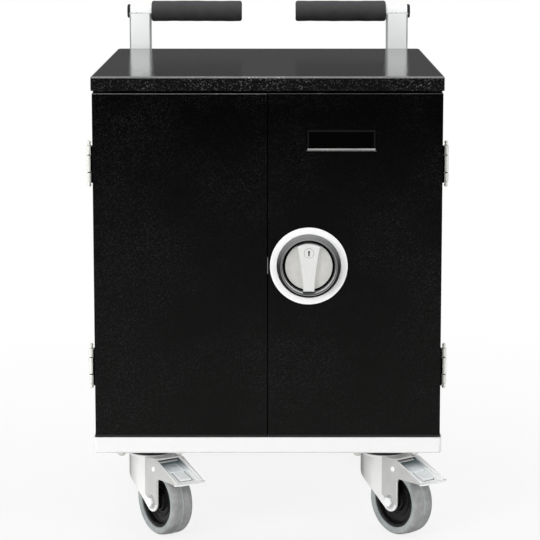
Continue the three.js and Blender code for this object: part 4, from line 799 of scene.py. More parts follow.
# %% Turning disc, grip bar and key
shape = bmesh.new()
turn(shape, soften([(0, 1), (34.6, 1), (34.6, 5), (0, 5)], 0.7), LOCK, OUT, 128)
turn(shape, [(0, 2), (4.5, 2), (4.5, -17.4), (0, -17.4)], LOCK, OUT, 40)
face_out = Matrix(((1, 0, 0, LOCK.x), (0, 0, -1, FRONT), (0, 1, 0, LOCK.z), (0, 0, 0, 1)))
BAR_WIDE, BAR_NARROW, BAR_HOLLOW, BAR_TOP, BAR_LENGTH = 16.8, 8.2, 1.6, 30.2, 66.2
ARC_RADIUS, ARC_HALF = 34.4, 28
side_line = []
for k in range(13):
    s = k / 12
    half = BAR_WIDE + (BAR_NARROW - BAR_WIDE) * s - BAR_HOLLOW * math.sin(math.pi * s)
    side_line.append((half, BAR_TOP - BAR_LENGTH * s))
turns = [math.radians(ARC_HALF - 2 * ARC_HALF * k / 10) for k in range(11)]
top_arc = [(ARC_RADIUS * math.sin(a), ARC_RADIUS * math.cos(a)) for a in turns]
bar = [(x, z) for x, z in reversed(side_line)] + top_arc + [(-x, z) for x, z in side_line]
add_sheet(shape, bar, 3, 14, face_out, 1.3, finish=1, segments=3)
finish_piece("lock_knob_made", shape, [disc_steel, bar_silver], "lock_knob", ["lock_knob"])

key_low, key_high = span("key_cylinder")
key_at = Vector((LOCK.x, FRONT, (key_low.z + key_high.z) / 2))
key_face = FRONT - key_low.y
shape = bmesh.new()
plug = soften([(0, 8), (7.9, 8), (7.9, key_face - 0.7, 1), (7.2, key_face - 0.7, 1), (7.0, key_face, 0),
               (0, key_face, 0)], 0.3)
turn(shape, plug, key_at, OUT, 64)
on_key = face_out @ Matrix.Translation((0, key_at.z - LOCK.z, 0))
turns = [math.radians(k * 20 - 140) for k in range(15)]
keyhole = [(-0.95, -4.2), *[(1.5 * math.sin(a), 2.2 + 1.5 * math.cos(a)) for a in turns], (0.95, -4.2)]
# Painted shade: a thin black sheet on the plug's face stands for the dark of the keyhole.
add_sheet(shape, keyhole, key_face - 0.3, key_face + 0.06, on_key, 0.02, finish=2)
finish_piece("key_cylinder_made", shape, [bar_silver, rim_grey, painted_keyhole_shade], "key_cylinder",
             ["key_cylinder"])

for node in ("upper_lock_rod", "lower_lock_rod", "lock_gear_case"):
    dress(node, rod_zinc, 0.3)
dress("lock_pinion", bright_steel, 0.15)
case_low, case_high = span("lock_gear_case")
case_marks = [((x, case_high.y, z), (0, 1, 0)) for x in (case_low.x + 6, case_high.x - 6)
              for z in (case_low.z + 7, case_high.z - 7)]
fasten("gear_case_screws", button_screw, case_marks, rod_zinc, "right_door")

# %% [markdown]
# A push handle is a zinc-plated square upright with a round tube welded across its top. The upright is a
# rounded outline drawn up to its height, and its four rounded corners get a darker, fully metallic zinc, a
# painted dark reflection. Black plugs close the open ends, and the weld is a row of overlapping lumps.

# %% Handles
TUBE_IN, TUBE_OUT, TUBE_RADIUS, TUBE_BORE = 45.5, 235, 11, 9
POST_IN, POST_OUT = 199.5, 235.5
BOLT_HEIGHTS = (470, 640)
for side, sign in (("right", 1), ("left", -1)):
    low, high = span(f"{side}_handle_frame")
    grip_low, grip_high = span(f"{side}_handle_grip")
    tube_y, tube_z = (grip_low.y + grip_high.y) / 2, (grip_low.z + grip_high.z) / 2
    post_top = tube_z - 4
    shape = bmesh.new()
    post = round_corners(rectangle((POST_IN, low.y), (POST_OUT, high.y)), 4, 5)
    add_sheet(shape, post, low.z, post_top, Matrix.Diagonal((sign, 1, 1, 1)), 0.8)
    shape.normal_update()
    for face in shape.faces:
        # Painted reflection: faces at the rounded corners take the darker rod zinc.
        face.material_index = int(min(abs(face.normal.x), abs(face.normal.y)) > 0.3)
    tube = [(TUBE_BORE, TUBE_IN), (TUBE_RADIUS, TUBE_IN), (TUBE_RADIUS, TUBE_OUT), (TUBE_BORE, TUBE_OUT)]
    turn(shape, soften(tube, 0.6, closed=True), (0, tube_y, tube_z), (sign, 0, 0), 72, closed=True)
    finish_piece(f"{side}_handle_frame_made", shape, [handle_zinc, rod_zinc], "root",
                 [f"{side}_handle_frame"])

    shape = bmesh.new()
    cap = [(0, TUBE_OUT - 0.4), (11.4, TUBE_OUT - 0.4), (11.4, TUBE_OUT + 3.4), (10, TUBE_OUT + 4.6),
           (0, TUBE_OUT + 4.9)]
    turn(shape, soften(cap, 0.6), (0, tube_y, tube_z), (sign, 0, 0), 72)
    plug = [(0, TUBE_IN + 1), (TUBE_BORE - 0.1, TUBE_IN + 1), (TUBE_BORE - 0.1, 60), (0, 60)]
    turn(shape, plug, (0, tube_y, tube_z), (sign, 0, 0), 48)
    foot = round_corners(rectangle((POST_IN - 0.3, low.y), (POST_OUT + 0.3, high.y)), 4, 5)
    add_sheet(shape, foot, low.z - 3, low.z - 0.2, Matrix.Diagonal((sign, 1, 1, 1)), 0.8)
    finish_piece(f"{side}_handle_plugs", shape, [trim_black], "root")

    random.seed(4)
    weld = []
    for y, reach in ((tube_y - 10.4, -1), (tube_y + 10.4, 1)):
        for k in range(17):
            x = sign * (POST_IN + 1.5 + 33 * k / 16)
            out, up = reach * random.uniform(0, 0.7), random.uniform(-0.3, 0.5)
            weld.append(((x, y + out, post_top + up), (0, 0, 1)))
    fasten(f"{side}_weld", weld_lump, weld, weld_grey, "root", 0.5, 0.22)
    bolts = [((sign * POST_OUT, tube_y, z), (sign, 0, 0)) for z in BOLT_HEIGHTS]
    fasten(f"{side}_handle_bolts", button_screw, bolts, handle_zinc, "root")

print("handles welded, tube at height", round(GRIP, 1), "mm")

# %% [markdown]
# The grip is foam pushed over the tube: matt, full of fine pores, a little uneven, and rounded over at both
# ends. A plain cylinder would look machined, so its radius comes from a rule with slow waves and dents.

# %% Foam grips
FOAM_LENGTH, FOAM_BORE, FOAM_ROUNDING = 153, 11.2, 4


def foam_radius(along, angle, seed):
    """Radius of the grip: rounded ends, slow waves along it, and small dents round it."""
    end = min(along, FOAM_LENGTH - along)
    edge = 13.6 + 3.6 * math.sqrt(max(0.0, 1 - (1 - min(end / FOAM_ROUNDING, 1)) ** 2))
    waves = 0.12 * math.sin(along * 0.09 + seed) + 0.1 * math.sin(along * 0.23 + angle * 2 + seed)
    squeeze = 0.16 * math.sin(3 * angle + seed) * math.sin(along * 0.05)
    return edge + waves + squeeze


for side, sign in (("right", 1), ("left", -1)):
    grip_low, grip_high = span(f"{side}_handle_grip")
    tube_y, tube_z = (grip_low.y + grip_high.y) / 2, (grip_low.z + grip_high.z) / 2
    shape = bmesh.new()
    end = [0, 0.25, 0.6, 1.1, 1.8, 2.7, FOAM_ROUNDING]
    straight = FOAM_LENGTH - 2 * FOAM_ROUNDING
    stations = end + [FOAM_ROUNDING + straight * k / 60 for k in range(1, 60)]
    stations += [FOAM_LENGTH - along for along in reversed(end)]
    sides = 72
    angles = [2 * math.pi * k / sides for k in range(sides)]
    skins = [(along, [foam_radius(along, angle, 1.3 + sign) for angle in angles]) for along in stations]
    skins += [(along, [FOAM_BORE] * sides) for along in (FOAM_LENGTH, 0)]
    rings = []
    for along, radii in skins:
        x = sign * (TUBE_IN + along)
        rings.append([
            shape.verts.new(Vector((x, tube_y + r * math.cos(angle), tube_z + r * math.sin(angle))) * MM)
            for r, angle in zip(radii, angles)
        ])
    for a, b in zip(rings, rings[1:] + rings[:1]):
        for k in range(sides):
            shape.faces.new((a[k], a[(k + 1) % sides], b[(k + 1) % sides], b[k]))
    grip = finish_piece(f"{side}_foam_grip", shape, [grip_foam], "root",
                        [f"{side}_handle_grip"], 60)
print("grips made")

# %% [markdown]
# Each castor has a grey rubber tyre on a black hub, and an axle with a hexagon head at both ends. All are
# turned on the axle's line. A castor swivels, so its pieces are drawn in its own directions: ahead, across
# and up, and a matrix lays them at the angle that it has in the frame.

# %% Castor tyres, hubs and axles
def castor_frame(castor):
    """A castor's kingpin, its axle's direction, its matrix, and its axle in its own directions."""
    low, high = span(f"{castor}_castor_plate")
    axle_low, axle_high = span(f"{castor}_castor_axle")
    pin = Vector(((low.x + high.x) / 2, (low.y + high.y) / 2, 0))
    axle = (axle_low + axle_high) / 2
    ahead = Vector((axle.x - pin.x, axle.y - pin.y, 0))
    trail = ahead.length
    ahead.normalize()
    across = Vector((-ahead.y, ahead.x, 0))
    matrix = Matrix(((ahead.x, across.x, 0, pin.x), (ahead.y, across.y, 0, pin.y),
                     (0, 0, 1, 0), (0, 0, 0, 1)))
    return pin, across, matrix, Vector((trail, 0, axle.z))


castors = ("front_left", "front_right", "rear_left", "rear_right")
WHEEL = castor_frame("front_left")[3].z
HUB = WHEEL - 12
tread = mirrored([(HUB, 16.5), (HUB + 3, 17.5), (WHEEL - 3.4, 17.4), (WHEEL - 1.1, 14.4),
                  (WHEEL - 0.45, 10), (WHEEL - 0.3, 1.3), (WHEEL, 0.6)])
tyre_profile = []
for (r, t), (_, after) in zip(tread, tread[1:] + tread[:1]):
    middle = abs(t + after) / 2
    tyre_profile.append((r, t, int(middle > 16.9 or middle < 1)))
rim = [(HUB - 0.3, 15), (HUB - 3.6, 15), (HUB - 4.8, 13.8), (HUB - 6.6, 8.2), (HUB - 9, 7.0),
       (24, 6.6), (23.2, 8.2), (20.6, 8.6), (19.8, 7.2), (16.8, 7.6), (15.2, 12), (13, 13),
       (12.4, 20.2), (5.5, 20.2)]
for castor in castors:
    _, across, matrix, axle = castor_frame(castor)
    axle_at = matrix @ axle
    shape = bmesh.new()
    turn(shape, soften(tyre_profile, 0.9, closed=True), axle_at, across, 128, closed=True)
    finish_piece(f"{castor}_tyre_made", shape, [tyre_grey, tyre_side], f"{castor}_wheel",
                 [f"{castor}_tyre"])
    shape = bmesh.new()
    turn(shape, soften(mirrored(rim), 0.5, closed=True), axle_at, across, 96, closed=True)
    finish_piece(f"{castor}_hub_made", shape, [hub_black], f"{castor}_wheel",
                 [f"{castor}_wheel_hub"])
    shape = bmesh.new()
    turn(shape, [(0, -25), (5, -25), (5, 25), (0, 25)], axle_at, across, 32)
    for way in (-1, 1):
        washer = [(0, 24.1, 1), (10.4, 24.1, 1), (10.4, 25.6, 1), (0, 25.6, 1)]
        turn(shape, soften(washer, 0.4), axle_at, across * way, 48)
        stand = matrix @ Matrix(((1, 0, 0, axle.x), (0, 0, way, 0), (0, 1, 0, axle.z), (0, 0, 0, 1)))
        add_sheet(shape, hexagon(7.8), 25.6, 29.6, stand, 0.8)
    finish_piece(f"{castor}_axle_made", shape, [handle_zinc, rod_zinc], f"{castor}_castor",
                 [f"{castor}_castor_axle"])
print("wheels turned, radius", round(WHEEL, 1), "mm")

# %% [markdown]
# The fork is one pressing: two legs, a rounded back between them and a round crown on top. Its legs are
# flat outlines and its back is the same wall carried round a half circle, so one closed skin holds all of
# it. The braked forks also have two arms ahead, which carry the pedal.

# %% Fork tools
LEG_IN, LEG_OUT, BACK_CENTRE = 20.8, 23.8, -18


def arc(centre, radius, start, end, steps):
    turns = [math.radians(start + (end - start) * k / steps) for k in range(steps + 1)]
    return [(centre[0] + radius * math.cos(a), centre[1] + radius * math.sin(a)) for a in turns]


def leg_outline(axle, crown, braked):
    """A leg seen from its side, from the foot of the rounded back round to the top of it."""
    tip = arc((axle.x, axle.z), 15, -127, 0, 18)
    slope = (crown - 25 - tip[0][1]) / (BACK_CENTRE - LEG_OUT - 1 - tip[0][0])
    foot = (BACK_CENTRE, tip[0][1] + slope * (BACK_CENTRE - tip[0][0]))
    arm = crown - 28
    arch = arc((axle.x + 22, arm - 7), 7, 180, 90, 8)
    nose = arc((102.5, arm + 2.2), 2.2, -90, 40, 6) if braked else [(axle.x + 22, crown - 7)]
    return slope, [foot, *tip, *arch, *nose, (50, crown - 0.6), (BACK_CENTRE, crown - 0.6)]


def add_fork(shape, matrix, axle, crown, braked):
    slope, outline = leg_outline(axle, crown, braked)
    part = bmesh.new()
    skins = {}
    for side in (1, -1):
        for v in (LEG_OUT, LEG_IN):
            skins[side, v] = [part.verts.new((u, side * v, z)) for u, z in outline]
            part.faces.new(skins[side, v])
        outer, inner = skins[side, LEG_OUT], skins[side, LEG_IN]
        for k in range(len(outline) - 1):
            part.faces.new((outer[k], outer[k + 1], inner[k + 1], inner[k]))
    steps = 20
    walls = []
    for v in (LEG_OUT, LEG_IN):
        wall = [(skins[1, v][0], skins[1, v][-1])]
        for k in range(1, steps):
            angle = math.pi / 2 + math.pi * k / steps
            u, across = BACK_CENTRE + v * math.cos(angle), v * math.sin(angle)
            foot = outline[0][1] + slope * (u - BACK_CENTRE)
            wall.append((part.verts.new((u, across, foot)), part.verts.new((u, across, crown - 0.6))))
        wall.append((skins[-1, v][0], skins[-1, v][-1]))
        walls.append(wall)
        for (a, b), (c, d) in zip(wall, wall[1:]):
            part.faces.new((a, b, d, c))
    for end in (0, 1):
        for k in range(steps):
            part.faces.new((walls[0][k][end], walls[0][k + 1][end], walls[1][k + 1][end], walls[1][k][end]))
    bmesh.ops.recalc_face_normals(part, faces=part.faces)
    rims = [e for e in part.edges if e.calc_face_angle(0) > math.radians(50)]
    bmesh.ops.bevel(part, geom=rims, offset=0.6, segments=2, profile=0.5, affect="EDGES")
    merge(shape, part, 0, matrix)
    edge = LEG_OUT - 0.1
    top = [(48, edge), *arc((BACK_CENTRE, 0), edge, 90, 270, 24), (48, -edge)]
    add_sheet(shape, top, crown - 3, crown, matrix, 1.1, segments=3)


print("legs", LEG_OUT - LEG_IN, "mm thick")

# %% [markdown]
# A top plate is bolted under the tray, with a black dust ring round the ball race below it. The fork hangs
# from the race and trails behind the kingpin. A bracket of thinner sheet is riveted to each braked leg. An
# attribute marks how far toward the bent back each point lies, for the fork's finish to paint shade there.

# %% Castor plates, races and forks
CASTOR_PLATE, NUT_X, NUT_Y = 3, 42, 40
SHADE_START, SHADE_END = -8, 42


def ease(value, low, high):
    """0 below low, 1 above high, and a smooth step between."""
    s = min(max((value - low) / (high - low), 0), 1)
    return s * s * (3 - 2 * s)


for castor in castors:
    pin, across, matrix, axle = castor_frame(castor)
    square = Matrix.Translation(pin)
    low, high = span(f"{castor}_castor_plate")
    crown = span(f"{castor}_castor_fork")[1].z
    under = high.z - CASTOR_PLATE
    shape = bmesh.new()
    corners = rectangle((low.x - pin.x, low.y - pin.y), (high.x - pin.x, high.y - pin.y))
    add_sheet(shape, round_corners(corners, 8, 5), under, high.z, square, 0.5)
    race = [(0, crown + 0.5), (28, crown + 0.5), (31, crown + 1.8), (31, crown + 4.8), (29.8, crown + 5.2),
            (29.8, crown + 6.2), (31, crown + 6.8), (31, crown + 8.4), (28, under - 2.4), (27, under - 2),
            (27, under + 0.4), (0, under + 0.4)]
    turn(shape, soften([(r, z, 1) for r, z in race], 0.5), pin, (0, 0, 1), 80)
    nut_top = crown - 3.4
    washer = [(0, nut_top + 0.2), (12, nut_top + 0.2), (12, nut_top - 1.2), (0, nut_top - 1.2)]
    turn(shape, washer, pin, (0, 0, 1), 40)
    add_sheet(shape, hexagon(9.4), low.z + 0.2, nut_top - 1.2, square, 0.6)
    finish_piece(f"{castor}_plate_made", shape, [castor_zinc, trim_black], "root",
                 [f"{castor}_castor_plate"])
    shape = bmesh.new()
    add_fork(shape, matrix, axle, crown, castor.startswith("front"))
    turn(shape, soften([(7, crown - 2.4), (32.6, crown - 2.4), (33, crown - 0.4), (32.4, crown + 0.9),
                        (31.6, crown + 0.9), (31.3, crown + 0.2), (7, crown + 0.2)], 0.3, closed=True),
         pin, (0, 0, 1), 96, closed=True)
    if castor.startswith("front"):
        outline = leg_outline(axle, crown, True)[1]
        bracket = [(21, crown - 1), (21, axle.z + 9), (axle.x, axle.z - 4)]
        bracket += [(u - 0.6, z) for u, z in outline if u > axle.x + 14.8][:-1] + [(50, crown - 1)]
        for way in (-1, 1):
            stand = matrix @ Matrix(((1, 0, 0, 0), (0, 0, way, 0), (0, 1, 0, 0), (0, 0, 0, 1)))
            add_sheet(shape, bracket, LEG_OUT - 0.2, LEG_OUT + 0.9, stand, 0.35, finish=1)
            rivet = [(0, 26.6), (2.2, 26.3), (3.6, 25.5), (4, 24.5), (0, 24.5)]
            turn(shape, [(r, t, 2) for r, t in rivet], matrix @ Vector((45, 0, crown - 15)), across * way, 32)
    fork = finish_piece(f"{castor}_fork_made", shape, [fork_zinc, bracket_zinc, handle_zinc],
                        f"{castor}_castor", [f"{castor}_castor_fork"])
    home = matrix.inverted()
    # The fork's finish reads this share as painted shade toward the back.
    toward_back = fork.data.attributes.new("toward_back", "FLOAT", "POINT")
    toward_back.data.foreach_set("value", [
        ease(-(home @ (vert.co / MM)).x, SHADE_START, SHADE_END) for vert in fork.data.vertices])
    nuts = [(pin + Vector((u * NUT_X, v * NUT_Y, under)), (0, 0, -1)) for u in (-1, 1) for v in (-1, 1)]
    fasten(f"{castor}_plate_nuts", cap_nut, nuts, bright_steel, "root")

# %% [markdown]
# The brake pedal is one pressed plate between the fork's arms. It has side rails, a raised frame round a
# bare label, a tongue cut free along the middle, and a lip for the toe that widens and turns up. A height
# for every point of the plate says all this in one rule, with each pressed edge rounded.

# %% Pedal shape
NECK, FLARE, TOE = 61.6, 2.4, 8
PEDAL_HALF, LIP_HALF = 20.4, 26.8


def pedal_half_width(s):
    if s < NECK:
        return PEDAL_HALF
    if s < NECK + FLARE:
        return PEDAL_HALF + (LIP_HALF - PEDAL_HALF) * ease(s, NECK, NECK + FLARE)
    return LIP_HALF * math.sqrt(max(0.0, 1 - ((s - NECK - FLARE) / TOE) ** 2))


def pedal_height(s, v):
    """Top of the plate: side rails, a raised frame round a bare label, the tongue and the lip."""
    side = abs(v)
    body = 1 - ease(s, NECK - 4, NECK - 1)
    rail = 1.5 * ease(side, 15.6, 17.4) * body
    inside = max(side - 9.8, abs(s - 19.5) - 9.2)
    frame_edge = 1.7 * ease(2.1 - abs(inside - 1.3), 0, 1.1)
    label = 0.9 * ease(-max(side - 5, abs(s - 16.5) - 3.4), 0, 0.9)
    tongue = 1.3 * ease(9.8 - side, 0, 1.2) * ease(s, 30, 32) * (1 - ease(s, NECK - 8.4, NECK - 7))
    slot = 0.9 if in_slot(s, v) else 0
    lip = 0.45 * max(0.0, s - NECK + 1) * ease(s, NECK - 1, NECK + 3)
    return 1.0 + rail + frame_edge + label + tongue + lip - slot


def in_slot(s, v):
    """True where the tongue is cut free of the plate along its two sides and its end."""
    beside = 10.2 < abs(v) < 11.9 and 32 < s < NECK - 5
    return beside or (abs(v) <= 10.2 and NECK - 6.8 < s < NECK - 5)


print("pedal reaches", round(NECK + FLARE + TOE, 1), "mm ahead of its pivot")

# %% [markdown]
# The plate is a grid of those heights, once for the top and once for the underside, closed along its rim.
# Rows and columns crowd together where the pressed edges are. The slots beside the tongue are painted
# black, a painted shade for the gap under them. A round stud through the arms is the pivot.

# %% Brake pedals
PEDAL_THICK, PEDAL_SLOPE = 2.3, math.radians(19.5)
placed = [joint for joint in record["behaviour"]["joints"] if "pos_m" in joint]
pivot_of = {joint["child"]: Vector(joint["pos_m"]) / MM for joint in placed}
rows = [-5 + (NECK + 5.4) * k / 84 for k in range(85)] + [NECK + 0.4 + 2.2 * k / 6 for k in range(1, 7)]
rows += [NECK + 2.6 + 7.79 * math.sin(math.pi / 2 * k / 14) for k in range(1, 15)]
columns = [math.sin(math.pi / 2 * (k / 32 - 1)) * 0.35 + (k / 32 - 1) * 0.65 for k in range(65)]
for castor in ("front_left", "front_right"):
    _, across, matrix, _ = castor_frame(castor)
    pivot = pivot_of[f"{castor}_brake"]
    tilt = matrix @ Matrix.Translation(matrix.inverted() @ pivot) @ Matrix.Rotation(PEDAL_SLOPE, 4, "Y")
    shape = bmesh.new()
    part = bmesh.new()
    grids = []
    for lower in (0, 1):
        grid = []
        for s in rows:
            half = pedal_half_width(s)
            line = []
            for c in columns:
                v = half * c
                line.append(part.verts.new((s, v, pedal_height(s, v) - PEDAL_THICK * lower)))
            grid.append(line)
        grids.append(grid)
    for grid in grids:
        for a, b in zip(grid, grid[1:]):
            for k in range(len(columns) - 1):
                # Slot faces on the top take the black trim finish: painted shade for the gap under them.
                face = part.faces.new((a[k], a[k + 1], b[k + 1], b[k]))
                middle = face.calc_center_median()
                face.material_index = int(grid is grids[0] and in_slot(middle.x, middle.y))
    top, under = grids
    for k in range(len(columns) - 1):
        part.faces.new((top[0][k], top[0][k + 1], under[0][k + 1], under[0][k]))
        part.faces.new((top[-1][k], top[-1][k + 1], under[-1][k + 1], under[-1][k]))
    for i in range(len(rows) - 1):
        for k in (0, -1):
            part.faces.new((top[i][k], top[i + 1][k], under[i + 1][k], under[i][k]))
    merge(shape, part, None, tilt)
    stud = [(0, 25.2), (1.6, 25.1), (2.2, 24.8), (2.4, 23.9)]
    turn(shape, [(r, t, 2) for r, t in mirrored(stud)], pivot, across, 32)
    finish_piece(f"{castor}_pedal_made", shape, [pedal_zinc, trim_black, bracket_zinc], f"{castor}_brake",
                 [f"{castor}_brake_pedal"], 45)
print("pedals pressed:", len(rows) * len(columns) * 2, "points each")

# %% [markdown]
# Inside, a power strip runs across the back with six round sockets, and the mains inlet comes out below
# it. Each socket gets an insert with a pair of earth clips, and two black discs on its floor, a painted
# shade for the pin holes. The inserts repeat, so the same tree that sets screws sets them too. A red rocker
# switches the strip.

# %% Power strip and inlet
SOCKETS, SOCKET_PITCH = 6, 66


def build_socket_insert(shape):
    """A shallow cup, open upwards, with an earth clip on each side."""
    cup = [(0, 1.2), (15.4, 1.2), (15.6, 10.5), (18.6, 11.2), (18.6, 0), (0, 0)]
    turn(shape, soften(cup, 0.5), (0, 0, 0), (0, 0, 1), 48)
    for x in (-15.3, 15.3):
        add_block(shape, (x - 1.1, -2.2, 1), (x + 1.1, 2.2, 10.2), 0.3)


def build_pin_holes(shape):
    for y in (-9.5, 9.5):
        turn(shape, soften([(0, 0), (2.7, 0), (2.7, 0.35), (0, 0.35)], 0.15), (0, y, 0), (0, 0, 1), 28)


dress("power_strip", trim_black, 1.0)
dress("power_inlet", trim_black, 0.35)
strip_low, strip_high = span("power_strip")
strip_z = (strip_low.z + strip_high.z) / 2
across = [(i - (SOCKETS - 1) / 2) * SOCKET_PITCH for i in range(SOCKETS)]
sockets = [(Vector((x, strip_low.y + 12, strip_z)), (0, -1, 0)) for x in across]
socket_insert = new_head("socket insert", build_socket_insert)
pin_holes = new_head("pin holes", build_pin_holes)
fasten("socket_inserts", socket_insert, sockets, rack_grey, "root", 0)
# Painted shade: black discs on the inserts' floors stand for the pin holes.
holes = [(place + Vector((0, -1.2, 0)), way) for place, way in sockets]
fasten("socket_pin_holes", pin_holes, holes, bore_black, "root", 0)
shape = bmesh.new()
add_block(shape, (192, strip_low.y - 1.6, strip_z - 7), (204, strip_low.y + 3, strip_z + 7), 1.0, segments=3)
finish_piece("strip_rocker", shape, [rocker_red], "root")

# %% [markdown]
# The back panel is screwed to the frame all round its edge so that it can come off for wiring. Two more
# screws hold the inlet. All of them face backwards.

# %% Screws at the back
back_marks = [((sign * 244, BACK, z), (0, 1, 0)) for sign in (-1, 1) for z in (185, 300, 415, 530, 645)]
back_marks += [((x, BACK, z), (0, 1, 0)) for z in (174, 656) for x in (-150, -50, 50, 150)]
fasten("back_panel_screws", button_screw, back_marks, trim_black, "root")
inlet_low, inlet_high = span("power_inlet")
inlet_z = (inlet_low.z + inlet_high.z) / 2
inlet_marks = [((x, inlet_high.y, inlet_z), (0, 1, 0)) for x in (inlet_low.x + 3.2, inlet_high.x - 3.2)]
fasten("inlet_screws", flat_screw, inlet_marks, bright_steel, "root")

# %% [markdown]
# The room is a plain pale floor in soft light. The camera sees the floor as nearly white: close to the
# cart a fifth of it is lit floor, which keeps the shadow, and further out it is plain white. Mirrors see
# some of that white too, and a darker floor far off and behind, which gives the metal its contrast. Rays
# that only carry light don't see the white, so it adds no light to the cart.

# %% Floor
NEAR_WHITE, MIRRORED_WHITE, DIMMEST = 0.82, 0.35, 0.7
floor_paint = bpy.data.materials.new("pale floor")
floor_paint.use_nodes = True
tree = floor_paint.node_tree
matt = tree.nodes["Principled BSDF"]
matt.inputs["Base Color"].default_value = (0.86, 0.86, 0.86, 1)
matt.inputs["Roughness"].default_value = 0.9
matt.inputs["Specular IOR Level"].default_value = 0.1
white = tree.nodes.new("ShaderNodeEmission")
ray = tree.nodes.new("ShaderNodeLightPath")
distance = tree.nodes.new("ShaderNodeVectorMath")
distance.operation = "LENGTH"
tree.links.new(object_place(tree), distance.inputs[0])
far = remap(tree, distance.outputs["Value"], 0.5, 1.5, NEAR_WHITE, 1.0)
side_on = tree.nodes.new("ShaderNodeSeparateXYZ")
tree.links.new(object_place(tree), side_on.inputs["Vector"])
dim = combine(tree, "MAXIMUM", remap(tree, distance.outputs["Value"], 1.0, 4.0, 0.0, DIMMEST),
              remap(tree, side_on.outputs["Y"], -0.2, 0.5, 0.0, DIMMEST))
shaded = combine(tree, "MULTIPLY", dim, ray.outputs["Is Glossy Ray"])
direct = combine(tree, "MAXIMUM", ray.outputs["Is Camera Ray"], ray.outputs["Is Transmission Ray"])
mirrored_white = combine(tree, "MULTIPLY", ray.outputs["Is Glossy Ray"], MIRRORED_WHITE)
share = combine(tree, "MULTIPLY", combine(tree, "ADD", mirrored_white, direct), far)
blend = tree.nodes.new("ShaderNodeMixShader")
tree.links.new(share, blend.inputs["Fac"])
tree.links.new(matt.outputs["BSDF"], blend.inputs[1])
tree.links.new(white.outputs["Emission"], blend.inputs[2])
shade = tree.nodes.new("ShaderNodeMixShader")
tree.links.new(shaded, shade.inputs["Fac"])
tree.links.new(blend.outputs["Shader"], shade.inputs[1])
tree.links.new(shade.outputs["Shader"], tree.nodes["Material Output"].inputs["Surface"])

shape = bmesh.new()
bmesh.ops.create_circle(shape, cap_ends=True, segments=96, radius=45)
mesh = bpy.data.meshes.new("floor")
shape.to_mesh(mesh)
shape.free()
mesh.materials.append(floor_paint)
floor = bpy.data.objects.new("floor", mesh)
bpy.context.scene.collection.objects.link(floor)
floor.location.z = -0.0004
print("floor laid")

# %% [markdown]
# The world is a white room. The camera and glass see it at full white. Mirrors see it with a dark wall low
# behind the cart, a grey one low in front, and two soft glows in front, as of studio lamps. Everything else
# gets a low, even light from it.

# %% World
ROOM_LIGHT, MIRROR_LIGHT, WALL_LIGHT, GLOW_LIGHT = 0.32, 0.9, 0.13, 0.9
world = bpy.data.worlds.new("studio")
bpy.context.scene.world = world
world.use_nodes = True
tree = world.node_tree
room = tree.nodes["Background"]
room.inputs["Color"].default_value = (1, 1, 1, 1)
room.inputs["Strength"].default_value = ROOM_LIGHT
backdrop = tree.nodes.new("ShaderNodeBackground")
backdrop.inputs["Strength"].default_value = 1.0
mirror = tree.nodes.new("ShaderNodeBackground")
ray = tree.nodes.new("ShaderNodeLightPath")
way = tree.nodes.new("ShaderNodeSeparateXYZ")
directions = tree.nodes.new("ShaderNodeTexCoord").outputs["Generated"]
tree.links.new(directions, way.inputs["Vector"])
walls = combine(tree, "ADD", remap(tree, way.outputs["Y"], 0.25, 0.75),
                remap(tree, way.outputs["Y"], -0.25, -0.75, 0, 0.5))
wall = combine(tree, "MULTIPLY", walls, remap(tree, way.outputs["Z"], 0.62, 0.3))
level = remap(tree, wall, 0, 1, MIRROR_LIGHT, WALL_LIGHT)
for side in (-1, 1):
    glow = tree.nodes.new("ShaderNodeVectorMath")
    glow.operation = "DOT_PRODUCT"
    glow.inputs[1].default_value = Vector((side * 0.62, -0.66, 0.42)).normalized()
    tree.links.new(directions, glow.inputs[0])
    level = combine(tree, "ADD", level, remap(tree, glow.outputs["Value"], 0.86, 0.96, 0, GLOW_LIGHT))
tree.links.new(level, mirror.inputs["Strength"])
first = tree.nodes.new("ShaderNodeMixShader")
tree.links.new(ray.outputs["Is Glossy Ray"], first.inputs["Fac"])
tree.links.new(room.outputs["Background"], first.inputs[1])
tree.links.new(mirror.outputs["Background"], first.inputs[2])
direct = combine(tree, "MAXIMUM", ray.outputs["Is Camera Ray"], ray.outputs["Is Transmission Ray"])
second = tree.nodes.new("ShaderNodeMixShader")
tree.links.new(direct, second.inputs["Fac"])
tree.links.new(first.outputs["Shader"], second.inputs[1])
tree.links.new(backdrop.outputs["Background"], second.inputs[2])
tree.links.new(second.outputs["Shader"], tree.nodes["World Output"].inputs["Surface"])
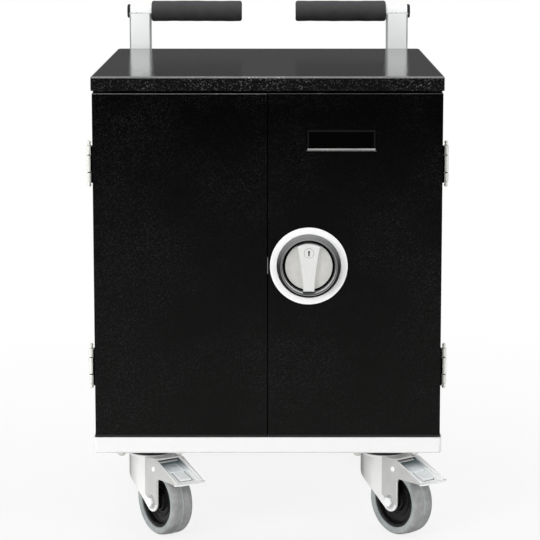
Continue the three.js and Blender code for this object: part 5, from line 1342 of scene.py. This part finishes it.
print("world ready, room light", ROOM_LIGHT)

# %% [markdown]
# Large square lamps give soft shadows. The key lamp is high in front, and a strong low one, further off on
# the left, reaches in under the tray to the castors. Others keep the top, the sides and the back from going
# black. Mirrors don't see the lamps, because a square in the lid would look like a window.

# %% Lamps
def add_lamp(name, place, aim, size, watts):
    lamp = bpy.data.lights.new(name, "AREA")
    lamp.shape = "SQUARE"
    lamp.size = size
    lamp.energy = watts
    holder = bpy.data.objects.new(name, lamp)
    holder.location = place
    holder.rotation_euler = (Vector(aim) - Vector(place)).to_track_quat("-Z", "Y").to_euler()
    holder.visible_camera = False
    holder.visible_glossy = False
    bpy.context.scene.collection.objects.link(holder)


add_lamp("key lamp", (-1.3, -3.0, 2.2), (0, 0, 0.4), 1.8, 38)
add_lamp("fill lamp", (2.3, -2.4, 1.4), (0, 0, 0.35), 2.0, 26)
add_lamp("low lamp", (-3.2, -3.9, 0.75), (0.1, -0.2, 0.1), 1.4, 88)
add_lamp("top lamp", (0.0, 0.5, 3.0), (0, 0, 0.5), 2.2, 33)
for side in (-1, 1):
    add_lamp(f"side lamp {side}", (side * 3.2, 0.3, 1.3), (0, 0, 0.3), 1.8, 17)
add_lamp("back lamp", (0.6, 3.2, 1.6), (0, 0, 0.4), 1.8, 23)

# %% [markdown]
# The photograph was taken with a long lens from a little above the lid, straight at the doors. The camera
# here looks down by about nine degrees from the same place, with a small shift to frame the cart.

# %% Camera
PICTURE, LOOK_DOWN = 540, 0.152
camera = bpy.data.cameras.new("camera")
camera.lens = 153.97
camera.sensor_width = 36
camera.shift_x = -5.3 / PICTURE
camera.shift_y = -25 / PICTURE
camera.clip_end = 200
stand = bpy.data.objects.new("camera", camera)
stand.location = (0.0112, -3.6285, 0.9544)
stand.rotation_euler = (math.pi / 2 - LOOK_DOWN, 0, 0)
bpy.context.scene.collection.objects.link(stand)
bpy.context.scene.camera = stand
bpy.context.scene.view_settings.view_transform = "Standard"

print("camera", round(camera.lens, 1), "mm, at", [round(v, 2) for v in stand.location])
